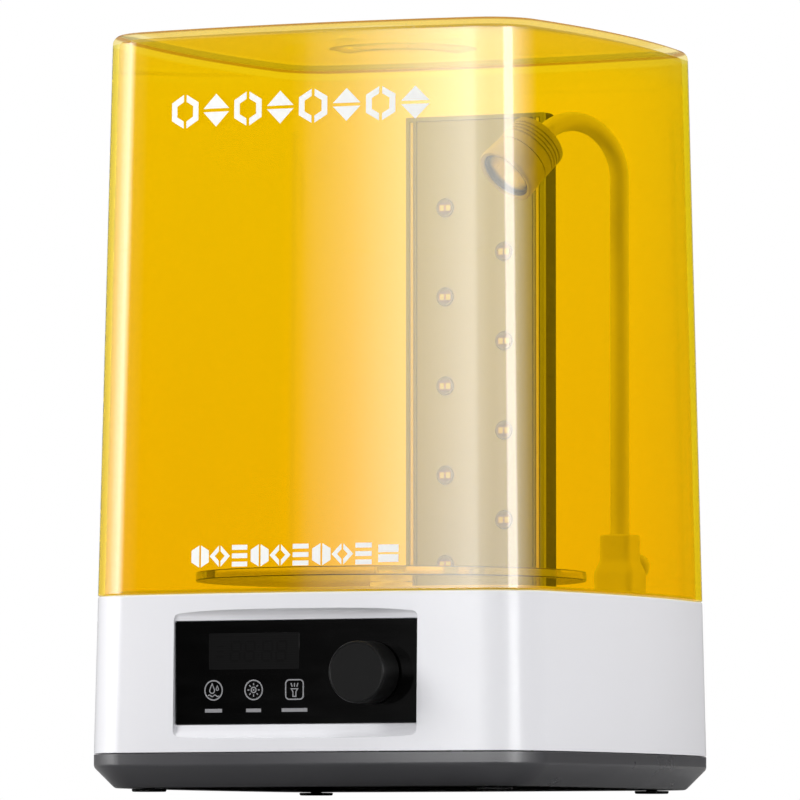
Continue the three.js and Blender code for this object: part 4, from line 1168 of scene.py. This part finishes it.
def droplet_icon(bm, x, z):
    """Washing: a drop over a wave, in a circle."""
    radius = ICON_SIZE / 2 - STROKE / 2
    stroke(bm, arc(x, z, radius, 0, 360, 48)[:-1], STROKE, closed=True)
    drop = 1.15 * MM
    low = z - 0.1 * MM
    tip = Vector((x - 0.7 * MM, low + 2.5 * drop))
    outline_points = [tip] + arc(x - 0.7 * MM, low, drop, 150, 390, 20)
    stroke(bm, outline_points, STROKE * 0.85, closed=True)
    wave = []
    for i in range(25):
        share = i / 24
        wave.append(Vector((x - 2.6 * MM + share * 5.2 * MM, z - 2.3 * MM + 0.35 * MM * math.sin(share * 4 * math.pi))))
    stroke(bm, wave, STROKE * 0.8)
    small = 0.55 * MM
    corner = Vector((x + 1.75 * MM, z + 0.5 * MM))
    stroke(bm, [corner + Vector((0, 2.4 * small))] + arc(corner.x, corner.y, small, 150, 390, 12), STROKE * 0.7, True)


def sun_icon(bm, x, z):
    """Curing: a sun with eight rays, in a circle."""
    radius = ICON_SIZE / 2 - STROKE / 2
    stroke(bm, arc(x, z, radius, 0, 360, 48)[:-1], STROKE, closed=True)
    stroke(bm, arc(x, z, 1.15 * MM, 0, 360, 24)[:-1], STROKE * 0.9, closed=True)
    add_flat(bm, ngon(12, 0.42 * MM), None, x, z)
    for i in range(8):
        angle = math.radians(45 * i)
        way = Vector((math.cos(angle), math.sin(angle)))
        centre = Vector((x, z))
        stroke(bm, [centre + way * 1.95 * MM, centre + way * 2.85 * MM], STROKE * 0.9)


def torch_icon(bm, x, z):
    """Spot curing: a lamp head with two rays, in a rounded square."""
    half = ICON_SIZE * 0.94
    frame_points = [Vector((x + p.x, z + p.y)) for p in rounded_rectangle(half, half, 1.6 * MM, 6)]
    stroke(bm, frame_points, STROKE, closed=True)
    head = [(-1.5, 0.3), (1.5, 0.3), (0.7, -0.9), (0.7, -2.9), (-0.7, -2.9), (-0.7, -0.9)]
    stroke(bm, [Vector((x + a * MM, z + b * MM)) for a, b in head], STROKE * 0.85, closed=True)
    for i in (-1, 0, 1):
        start = Vector((x + i * 1.1 * MM, z + 1.2 * MM))
        stroke(bm, [start, start + Vector((i * 0.5 * MM, 1.5 * MM))], STROKE * 0.9)


def add_panel_print():
    """The three symbols and a plain bar under each."""
    bm = bmesh.new()
    for draw, x in zip((droplet_icon, sun_icon, torch_icon), ICON_X):
        draw(bm, x, ICON_Z)
    for x, width in zip(ICON_X, (8.0, 7.0, 12.0)):
        add_flat(bm, bar(width * MM, 1.5 * MM), None, x, ICON_Z - 8.6 * MM)
    thicken(bm, PRINT)
    bmesh.ops.translate(bm, verts=bm.verts[:], vec=(0, PANEL_Y - 0.01 * MM, 0))
    piece("panel_symbols", bm, "base", PANEL_INK)


SEGMENTS = ((0, 1, 0), (0, 0, 0), (0, -1, 0), (-1, 0.5, 1), (1, 0.5, 1), (-1, -0.5, 1), (1, -0.5, 1))


def segment(across, upright):
    """One bar of a digit, pointed at both ends."""
    long, thick = (3.9 * MM, 0.95 * MM)
    tip = thick / 2
    points = [(long / 2, 0), (long / 2 - tip, tip), (-long / 2 + tip, tip)]
    points += [(-long / 2, 0), (-long / 2 + tip, -tip), (long / 2 - tip, -tip)]
    if upright:
        points = [(b, a) for a, b in points]
    return [Vector(p) for p in points]


def add_digits():
    """The unlit digits of the display: four of seven segments each, two dots, and a small mark beside."""
    bm = bmesh.new()
    half_x, half_z = 2.15 * MM, 4.1 * MM
    base_x = WINDOW_LOW.x + 12.5 * MM
    z = (WINDOW_LOW.z + WINDOW_HIGH.z) / 2
    for digit in range(4):
        x = base_x + digit * 6.6 * MM + (1.6 * MM if digit > 1 else 0)
        for across, level, upright in SEGMENTS:
            lean = level * half_z * 0.12
            add_flat(bm, segment(across, upright), None, x + across * half_x + lean, z + level * half_z)
    for level in (-1, 1):
        add_flat(bm, ngon(8, 0.55 * MM), None, base_x + 10.8 * MM, z + level * 1.7 * MM)
    mark_x = WINDOW_LOW.x + 5.2 * MM
    for level in (-1, 0, 1):
        add_flat(bm, bar(3.4 * MM, 0.7 * MM), None, mark_x, z + level * 2.1 * MM)
    thicken(bm, PRINT / 3)
    bmesh.ops.translate(bm, verts=bm.verts[:], vec=(0, PANEL_Y - 0.065 * MM, 0))
    piece("display_digits", bm, "base", GHOST_INK)


def add_knob():
    """The knob: flat front in a fine raised rim, a crisp chamfer and a side that narrows a little."""
    radius = (KNOB_HIGH.x - KNOB_LOW.x) / 2
    front = PANEL_Y - KNOB_LOW.y
    back = PANEL_Y - KNOB_HIGH.y
    profile = [
        (3.3 * MM, back, 0),
        (5.5 * MM, back, 0.2 * MM),
        (5.5 * MM, back + 6 * MM, 0),
        (radius - 2 * MM, back + 6 * MM, 0),
        (radius - 2 * MM, back, 0.2 * MM),
        (radius, back, 0.3 * MM),
        (radius - 0.3 * MM, front - 0.75 * MM, 0.15 * MM),
        (radius - 0.85 * MM, front, 0.12 * MM),
        (radius - 1.25 * MM, front, 0.1 * MM),
        (radius - 1.4 * MM, front - 0.15 * MM, 0.1 * MM),
        (0, front - 0.15 * MM, 0),
        (0, front - 2 * MM, 0),
        (3.3 * MM, front - 2 * MM, 0),
        (3.3 * MM, back, 0),
    ]
    bm = turned(profile, KNOB_CENTRE, FRONT, 128)
    piece("knob_cap", bm, "knob", SATIN, ["control_knob"])


# ---- Pillar ----

LEDS = sorted(name for name in frame["nodes"] if name.startswith("led_") and name[-2:].isdigit())
HOUSING_LOW, HOUSING_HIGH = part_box("pillar_housing")
PLATE_LOW, PLATE_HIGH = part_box("pillar_front")
LED_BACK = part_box(LEDS[0])[1].y
LED_RADIUS = (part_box(LEDS[0])[1].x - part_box(LEDS[0])[0].x) / 2


def add_pillar():
    """The dark housing, hollow behind its plate, with grooves for the strips and a round back edge."""
    edge = 5 * MM
    body = block(HOUSING_LOW, HOUSING_HIGH)
    back_top = []
    for line in body.edges:
        ends = [v.co for v in line.verts]
        if all(p.y > HOUSING_HIGH.y - MM and p.z > HOUSING_HIGH.z - MM for p in ends):
            back_top.append(line)
    bmesh.ops.bevel(body, geom=back_top, offset=edge, segments=8, profile=0.5, affect="EDGES")
    round_edges(body, 0.35 * MM, 2, 40)
    far = HOUSING_LOW.y - MM
    cuts = [
        block(
            (PLATE_LOW.x - GAP, far, PLATE_LOW.z - GAP),
            (PLATE_HIGH.x + GAP, PLATE_HIGH.y + GAP, PLATE_HIGH.z + GAP),
        ),
        block((-27 * MM, far, PLATE_LOW.z + 2 * MM), (27 * MM, HOUSING_HIGH.y - 2.5 * MM, PLATE_HIGH.z - 2 * MM)),
    ]
    for name in ("pillar_trim_left", "pillar_trim_right"):
        low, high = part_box(name)
        cuts.append(block((low.x - GAP, far, low.z - GAP), (high.x + GAP, high.y + GAP, high.z + GAP)))
    body = cut(body, *cuts)
    split = HOUSING_LOW.y + 2 * MM
    front = block((HOUSING_LOW.x - MM, far, HOUSING_LOW.z - MM), (HOUSING_HIGH.x + MM, split, HOUSING_HIGH.z + MM))
    rear = cut(body.copy(), front.copy())
    piece("pillar_case", rear, "base", PILLAR_DARK, ["pillar_housing"])
    face = combine(body, [front], "INTERSECT")
    piece("pillar_frame", face, "base", PALE_GREY)


def add_pillar_plate():
    """The pale plate, with a hole for each LED."""
    plate = block(PLATE_LOW, PLATE_HIGH)
    round_edges(plate, 0.3 * MM, 2, 40)
    holes = []
    for name in LEDS:
        place = middle(name)
        reach = LED_RADIUS + 0.5 * MM
        profile = [(0, -5 * MM, 0), (reach, -5 * MM, 0), (reach, 5 * MM, 0), (0, 5 * MM, 0)]
        holes.append(turned(profile, Vector((place.x, PLATE_LOW.y, place.z)), FRONT, 40))
    piece("pillar_plate", cut(plate, *holes), "base", PALE_GREY, ["pillar_front"])


def add_strip(name):
    """A bright strip along the plate's edge."""
    low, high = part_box(name)
    piece(f"strip_{name[12:]}", block(low, high, 0.25 * MM, 3), "base", SILVER, [name])


def led_place(name):
    place = middle(name)
    return Vector((place.x, LED_BACK, place.z))


def add_leds():
    """Each LED is a grey collar, a two-chip emitter and a clear dome."""
    domes, collars, chips = [], [], []
    tip = LED_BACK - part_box(LEDS[0])[0].y
    top = tip - LED_RADIUS / 2
    for name in LEDS:
        place = led_place(name)
        dome = [(0, top - 1.2 * MM, 0), (LED_RADIUS - 0.5 * MM, top - 1.2 * MM, 0)]
        for i in range(12):
            angle = math.pi / 2 * i / 12
            reach = (LED_RADIUS - 0.5 * MM) * math.cos(angle)
            dome.append((reach, top + LED_RADIUS / 2 * math.sin(angle), 0))
        dome.append((0, tip, 0))
        domes.append(turned(dome, place, FRONT, 40))
        collars.append(turned([
            (0, 0.2 * MM, 0),
            (LED_RADIUS - 0.3 * MM, 0.2 * MM, 0.2 * MM),
            (LED_RADIUS - 0.3 * MM, top - 1.6 * MM, 0),
            (LED_RADIUS, top - 1.6 * MM, 0.1 * MM),
            (LED_RADIUS, top + 0.25 * MM, 0.2 * MM),
            (LED_RADIUS - 0.45 * MM, top + 0.25 * MM, 0.1 * MM),
            (LED_RADIUS - 0.45 * MM, top - 1.5 * MM, 0),
            (0, top - 1.5 * MM, 0),
        ], place, FRONT, 40))
        for side in (-1, 1):
            half = Vector((0.95, 0, 1.15)) * MM
            centre = Vector((place.x + side * 1.25 * MM, LED_BACK - top + 0.3 * MM, place.z))
            thick = Vector((0, 0.12 * MM, 0))
            chips.append(block(centre - half - thick, centre + half + thick, 0.08 * MM, 2))
    piece("led_domes", gather(*domes), "base", LED_CLEAR, LEDS)
    piece("led_collars", gather(*collars), "base", COLLAR)
    piece("led_chips", gather(*chips), "base", CHIP)


# ---- Turntable ----

def add_turntable():
    """The clear disc, with round edges, a fine raised ring on top and a hexagonal hole."""
    low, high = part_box("turntable_disc")
    radius = (high.x - low.x) / 2
    hub_low, hub_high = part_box("turntable_hub")
    top = high.z
    profile = [
        (0, low.z, 0),
        (radius, low.z, 0.7 * MM),
        (radius, top, 0.7 * MM),
        (radius - 3.0 * MM, top, 0.3 * MM),
        (radius - 3.4 * MM, top - 0.4 * MM, 0.3 * MM),
        (0, top - 0.4 * MM, 0),
    ]
    centre = Vector((0, TURNTABLE_Y, 0))
    disc = turned(profile, centre, UP, 160)
    hexagon = turned([(0, low.z - MM, 0), (5.3 * MM, low.z - MM, 0), (5.3 * MM, top + MM, 0), (0, top + MM, 0)],
                     centre, UP, 6)
    piece("turntable_plate", cut(disc, hexagon), "turntable", CLEAR, ["turntable_disc"])


def add_hub():
    """The driven hub: a flange, a neck and the hexagonal stub that carries the disc."""
    low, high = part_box("turntable_hub")
    disc_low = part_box("turntable_disc")[0].z
    shoulder = disc_low - GAP
    bore = 4.3 * MM
    base = low.z
    roof = shoulder - 2 * MM
    profile = [
        (bore, base, 0),
        (22 * MM, base, 0.4 * MM),
        (22 * MM, base + 3 * MM, 0.8 * MM),
        (20 * MM, base + 4 * MM, 0.6 * MM),
        (10 * MM, base + 4 * MM, 0.8 * MM),
        (9 * MM, base + 5 * MM, 0.4 * MM),
        (9 * MM, shoulder, 0.3 * MM),
        (0, shoulder, 0),
        (0, roof, 0),
        (bore, roof, 0),
        (bore, base, 0),
    ]
    centre = Vector((0, TURNTABLE_Y, 0))
    hub = turned(profile, centre, UP, 96)
    stub_top = high.z
    stub = turned([(0, shoulder - MM, 0), (5 * MM, shoulder - MM, 0), (5 * MM, stub_top - 0.4 * MM, 0),
                   (4.6 * MM, stub_top, 0), (0, stub_top, 0)], centre, UP, 6)
    piece("hub", join(hub, stub), "turntable_hub", MID_GREY, ["turntable_hub"])


# ---- Lamp ----

SWIVEL = Vector(JOINTS["lamp_swivel"]["pos_m"])
TILT = Vector(JOINTS["head_tilt"]["pos_m"])
SOCKET_LOW, SOCKET_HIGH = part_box("lamp_socket")
NECK_RADIUS = 4.1 * MM
NECK_ARC = 24.5 * MM         # radius of the bow over the top
ARC_SWEEP = math.radians(133)
REACH = (TILT - SWIVEL).xy.normalized()
LAMP_AXIS = Vector((REACH.x * math.sin(ARC_SWEEP), REACH.y * math.sin(ARC_SWEEP), math.cos(ARC_SWEEP)))


def add_socket():
    """The block on the deck: square with round corners, flared at its foot."""
    half = 7.3 * MM
    foot = (SOCKET_HIGH.x - SOCKET_LOW.x) / 2
    low, top = SOCKET_LOW.z, SOCKET_HIGH.z
    levels = soften([
        (foot, low, 0),
        (foot, 96 * MM, 1.5 * MM),
        (half, 101 * MM, 1.5 * MM),
        (half, top, 0.8 * MM),
        (half - 3 * MM, top, 0),
    ])
    rings = []
    for reach, z in levels:
        points = rounded_rectangle(2 * reach, 2 * reach, 3 * MM, 8)
        rings.append([Vector((SWIVEL.x + p.x, SWIVEL.y + p.y, z)) for p in points])
    bm = bmesh.new()
    ends = [Vector((SWIVEL.x, SWIVEL.y, z)) for z in (low, top)]
    skin(bm, [[ends[0]], *rings, [ends[1]]])
    plug = rod(SWIVEL.x, SWIVEL.y, 86 * MM, top + MM, NECK_RADIUS + GAP, 48)
    chamfer = turned([(0, top - 0.8 * MM, 0), (NECK_RADIUS + GAP, top - 0.8 * MM, 0),
                      (NECK_RADIUS + 1.5 * MM, top + 0.4 * MM, 0), (0, top + 0.4 * MM, 0)],
                     Vector((SWIVEL.x, SWIVEL.y, 0)), UP, 48)
    screw_z = middle("lamp_lock_screw").z
    thread = turned([(0, 0, 0), (2.3 * MM, 0, 0), (2.3 * MM, 20 * MM, 0), (0, 20 * MM, 0)],
                    Vector((SWIVEL.x, SWIVEL.y, screw_z)), BACK, 24)
    piece("socket_block", cut(bm, plug, chamfer, thread), "base", MID_GREY, ["lamp_socket"])


def add_lock_screw():
    """A thumb screw: threaded shank, and a round head with shallow flutes, a boss on its inner face and a shallow
    recess in its outer one.
    """
    low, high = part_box("lamp_lock_screw")
    start = low.y
    head = high.y - 4.4 * MM
    radius = (high.x - low.x) / 2
    centre = Vector((middle("lamp_lock_screw").x, 0, middle("lamp_lock_screw").z))
    profile = [(0, start, 0)]
    turns = int((head - start) / (0.7 * MM))
    for i in range(turns):
        profile.append((1.65 * MM, start + i * 0.7 * MM, 0))
        profile.append((2.0 * MM, start + (i + 0.5) * 0.7 * MM, 0))
    profile += [
        (1.7 * MM, head - 0.6 * MM, 0),
        (radius * 0.6, head - 0.6 * MM, 0.3 * MM),
        (radius * 0.6, head, 0),
        (radius - 0.8 * MM, head, 0.3 * MM),
        (radius, head + 0.8 * MM, 0.4 * MM),
        (radius, high.y - 0.8 * MM, 0.4 * MM),
        (radius - 0.8 * MM, high.y, 0.3 * MM),
        (3 * MM, high.y, 0.2 * MM),
        (3 * MM, high.y - 0.8 * MM, 0),
        (0, high.y - 0.8 * MM, 0),
    ]
    bm = turned(profile, centre, BACK, 72)
    for vert in bm.verts:
        away = vert.co - centre
        reach = Vector((away.x, away.z)).length
        if reach > radius * 0.8 and vert.co.y > head:
            flute = 1 - 0.035 * (0.5 + 0.5 * math.cos(18 * math.atan2(away.z, away.x)))
            vert.co.x = centre.x + away.x * flute
            vert.co.z = centre.z + away.z * flute
    piece("lock_screw", bm, "lamp_lock", MID_GREY, ["lamp_lock_screw"])


def neck_point(along):
    """A place on the neck's centre line, and its direction there, by the length from its foot."""
    arc_start = TILT.z - NECK_ARC * math.sin(ARC_SWEEP)
    foot = 86.3 * MM
    straight = arc_start - foot
    reach = Vector((REACH.x, REACH.y, 0))
    if along <= straight:
        return Vector((SWIVEL.x, SWIVEL.y, foot + along)), UP
    angle = (along - straight) / NECK_ARC
    level = NECK_ARC * (1 - math.cos(angle))
    place = Vector((SWIVEL.x, SWIVEL.y, arc_start + NECK_ARC * math.sin(angle))) + reach * level
    return place, UP * math.cos(angle) + reach * math.sin(angle)


def add_neck():
    """The gooseneck: one smooth sleeve from the socket to the ball that the lamp head tilts on."""
    arc_start = TILT.z - NECK_ARC * math.sin(ARC_SWEEP)
    length = arc_start - 86.3 * MM + NECK_ARC * ARC_SWEEP - 2 * MM
    side = UP.cross(Vector((REACH.x, REACH.y, 0)))
    steps = 150
    rings = [[neck_point(0)[0]]]
    for i in range(steps + 1):
        place, way = neck_point(length * i / steps)
        radius = NECK_RADIUS - (0.5 * MM if i in (0, steps) else 0)
        rings.append(circle(place, radius, 40, side, way.cross(side)))
    rings.append([neck_point(length)[0]])
    bm = bmesh.new()
    skin(bm, rings)
    ball = bmesh.new()
    bmesh.ops.create_uvsphere(ball, u_segments=32, v_segments=20, radius=3.4 * MM)
    bmesh.ops.translate(ball, verts=ball.verts[:], vec=TILT)
    thing = piece("neck_sleeve", join(bm, ball), None, MID_GREY, ["neck_lower", "neck_upper"])
    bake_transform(thing)


HEAD_RADIUS = 13.1 * MM
HEAD_SEAM = 16.5 * MM
HEAD_FRONT = 28.2 * MM
BORE = 11.5 * MM


def add_lamp_body():
    """The head's rear half: a cup for the ball, a round shoulder and four fine grooves."""
    cup = 3.7 * MM
    profile = []
    for i in range(9):
        angle = math.pi / 2 * (1 - i / 8) + math.asin(0.3 / 3.7) * i / 8
        profile.append((cup * math.cos(angle), cup * math.sin(angle), 0))
    profile += [
        (5.2 * MM, 0.3 * MM, 0.3 * MM),
        (5.2 * MM, 2.6 * MM, 0.3 * MM),
        (HEAD_RADIUS, 2.6 * MM, 2.4 * MM),
    ]
    for i in range(4):
        groove = (6 + 1.8 * i) * MM
        profile += [
            (HEAD_RADIUS, groove, 0.1 * MM),
            (HEAD_RADIUS - 0.7 * MM, groove + 0.2 * MM, 0.1 * MM),
            (HEAD_RADIUS - 0.7 * MM, groove + 0.6 * MM, 0.1 * MM),
            (HEAD_RADIUS, groove + 0.8 * MM, 0.1 * MM),
        ]
    profile += [
        (HEAD_RADIUS, HEAD_SEAM, 0.25 * MM),
        (BORE, HEAD_SEAM, 0),
        (BORE, 9 * MM, 0),
        (0, 9 * MM, 0),
    ]
    bm = turned(profile, TILT, LAMP_AXIS, 96, 3)
    piece("lamp_rear", bm, "lamp_head", LAMP_GREY, ["lamp_body"])


def add_lamp_front():
    """The head's front ring, which flares a little, and the dark ring inside it."""
    wide = 13.8 * MM
    inner = BORE + 0.1 * MM
    start = HEAD_SEAM + GAP
    bm = turned([
        (inner, start, 0),
        (HEAD_RADIUS, start, 0.25 * MM),
        (wide, HEAD_FRONT - MM, 0.6 * MM),
        (wide - 0.6 * MM, HEAD_FRONT, 0.3 * MM),
        (inner, HEAD_FRONT - 0.4 * MM, 0.3 * MM),
        (inner, start, 0),
    ], TILT, LAMP_AXIS, 96)
    piece("lamp_ring", bm, "lamp_head", LAMP_GREY, ["lamp_bezel"])
    dark = turned([
        (inner - 1.3 * MM, HEAD_FRONT - 3.2 * MM, 0),
        (inner - 0.05 * MM, HEAD_FRONT - 3.2 * MM, 0),
        (inner - 0.05 * MM, HEAD_FRONT - 0.9 * MM, 0.2 * MM),
        (inner - 0.6 * MM, HEAD_FRONT - 0.9 * MM, 0.2 * MM),
        (inner - 1.3 * MM, HEAD_FRONT - 1.9 * MM, 0.2 * MM),
        (inner - 1.3 * MM, HEAD_FRONT - 3.2 * MM, 0),
    ], TILT, LAMP_AXIS, 96)
    piece("lamp_inner_ring", dark, "lamp_head", BLACK_PART)


def add_lamp_optics():
    """The lens, the bright cone behind it and the emitter at its foot."""
    reach = BORE - 1.4 * MM
    back = HEAD_FRONT - 4.5 * MM
    lens = [(0, back, 0), (reach, back, 0.2 * MM), (reach, HEAD_FRONT - 3.2 * MM, 0.2 * MM)]
    for i in range(1, 11):
        share = i / 10
        lens.append((reach * math.cos(math.pi / 2 * share), HEAD_FRONT - 3.2 * MM + 1.5 * MM * math.sin(math.pi / 2 * share), 0))
    lens[-1] = (0, HEAD_FRONT - 1.7 * MM, 0)
    piece("lamp_lens_dome", turned(lens, TILT, LAMP_AXIS, 96), "lamp_head", LENS_CLEAR, ["lamp_lens"])
    cone = turned([
        (4.0 * MM, 12.2 * MM, 0),
        (BORE - 0.3 * MM, back - 0.6 * MM, 0),
        (BORE - 0.3 * MM, back - 0.2 * MM, 0),
        (BORE - 1.1 * MM, back - 0.2 * MM, 0),
        (3.5 * MM, 12.2 * MM, 0),
        (4.0 * MM, 12.2 * MM, 0),
    ], TILT, LAMP_AXIS, 96)
    piece("lamp_cone", cone, "lamp_head", SILVER)
    emitter = turned([
        (0, 9.3 * MM, 0),
        (9 * MM, 9.3 * MM, 0.2 * MM),
        (9 * MM, 10.9 * MM, 0.2 * MM),
        (3 * MM, 10.9 * MM, 0.2 * MM),
        (2.6 * MM, 12.2 * MM, 0.4 * MM),
        (0, 12.9 * MM, 0),
    ], TILT, LAMP_AXIS, 48)
    piece("lamp_light", emitter, "lamp_head", CHIP, ["lamp_emitter"])


# ---- Power inlet and switch ----

def add_inlet():
    """A barrel socket: a rounded flange, a deep bore and its pin."""
    low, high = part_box("dc_inlet")
    centre = Vector((middle("dc_inlet").x, SERVICE_Y, middle("dc_inlet").z))
    bm = turned([
        (0, -12 * MM, 0),
        (5.9 * MM, -12 * MM, 0.3 * MM),
        (5.9 * MM, GAP, 0),
        (8 * MM, GAP, 0.2 * MM),
        (8 * MM, 1.8 * MM, 0.7 * MM),
        (5.2 * MM, 1.8 * MM, 0.2 * MM),
        (4.8 * MM, 1.3 * MM, 0.2 * MM),
        (3.9 * MM, 1.3 * MM, 0.2 * MM),
        (3.9 * MM, -7 * MM, 0),
        (1.6 * MM, -7 * MM, 0),
        (1.6 * MM, -7.2 * MM, 0),
        (0, -7.2 * MM, 0),
    ], centre, BACK, 72)
    piece("inlet_body", bm, "base", BLACK_PART, ["dc_inlet"])
    pin = turned([(0, -7.3 * MM, 0), (MM, -7.3 * MM, 0), (MM, -3.4 * MM, 0.4 * MM), (0, -3.0 * MM, 0)],
                 centre, BACK, 32)
    piece("inlet_pin", pin, "base", STEEL)


def add_switch():
    """The switch's frame, and the rocker, dished along its length."""
    centre = Vector((middle("switch_housing").x, SERVICE_Y, middle("switch_housing").z))
    body = prism(rounded_rectangle(13.4 * MM, 20.4 * MM, 0.8 * MM, 4), centre + Vector((0, -12 * MM, 0)), 13 * MM)
    flange = prism(rounded_rectangle(16.4 * MM, 23.4 * MM, 1.5 * MM, 6), centre + Vector((0, GAP, 0)), 1.5 * MM)
    frame_bm = join(body, round_edges(flange, 0.4 * MM, 3, 50))
    opening = block(centre + Vector((-5.9, -8, -9.2)) * MM, centre + Vector((5.9, 4, 9.2)) * MM)
    piece("switch_frame", cut(frame_bm, opening), "base", BLACK_PART, ["switch_housing"])
    hinge = Vector(JOINTS["power_switch"]["pos_m"])
    lean = Matrix.Rotation(math.radians(8), 4, "X")
    half, width = 8.2 * MM, 5.5 * MM
    side = [(-half, 4.2), (-half, 0), (-3 * MM, -3.4), (3 * MM, -3.4), (half, 0), (half, 4.2)]
    points = [Vector((z, y * MM)) for z, y in side]
    for i in range(1, 12):
        z = half * (1 - i / 6)
        points.append(Vector((z, (3.0 + 1.2 * abs(z / half) ** 1.5) * MM)))
    bm = bmesh.new()
    rings = [[Vector((x, p.y, p.x)) for p in points] for x in (-width, width)]
    ends = [Vector((x, 0, 0)) for x in (-width, width)]
    skin(bm, [[ends[0]], *rings, [ends[1]]])
    round_edges(bm, 0.3 * MM, 2, 35)
    bmesh.ops.transform(bm, matrix=Matrix.Translation(hinge) @ lean, verts=bm.verts[:])
    piece("rocker", bm, "rocker", BLACK_PART, ["power_rocker"])


# ---- CAD nodes that stay as they are, with their finishes ----

KEPT = {
    "display_module": BLACK_PART,
    "panel_board": BOARD,
    "encoder_body": STEEL,
    "encoder_plunger": STEEL,
    "encoder_shaft": STEEL,
    "main_board": BOARD,
    "led_board": BOARD,
    "drive_motor": MOTOR_CAN,
    "motor_bracket": STEEL,
    "motor_shaft": STEEL,
    "drive_rotor": BLACK_PART,
    "drive_magnet_left": MAGNET,
    "drive_magnet_right": MAGNET,
    "bracket_screw_left": STEEL,
    "bracket_screw_right": STEEL,
}


def dress_kept_nodes():
    finishes = dict(KEPT)
    for name in frame["nodes"]:
        if name.endswith("_lead"):
            finishes[name] = LEAD
        if name in TRAY_SCREWS:
            finishes[name] = STEEL
    for name, material in finishes.items():
        mesh = frame["nodes"][name].data
        mesh.materials.clear()
        mesh.materials.append(material)


# ---- The whole station ----

bpy.context.scene.view_settings.view_transform = "Standard"
add_camera()
add_world()
add_lamp("key", -50, 30, 3.0, 1.4, 70)
add_lamp("fill", 108, 30, 3.0, 1.4, 56)
add_lamp("top", 30, 78, 2.5, 1.4, 16)
add_floor()

add_tray()
for foot_name in FEET:
    add_foot(foot_name)
add_case()
add_panel()
add_window()
add_digits()
add_panel_print()
add_knob()
add_pillar()
add_pillar_plate()
add_strip("pillar_trim_left")
add_strip("pillar_trim_right")
add_leds()
add_hub()
add_turntable()
add_socket()
add_lock_screw()
add_neck()
add_lamp_body()
add_lamp_front()
add_lamp_optics()
add_inlet()
add_switch()
dress_kept_nodes()
add_cover()
add_cover_marks()
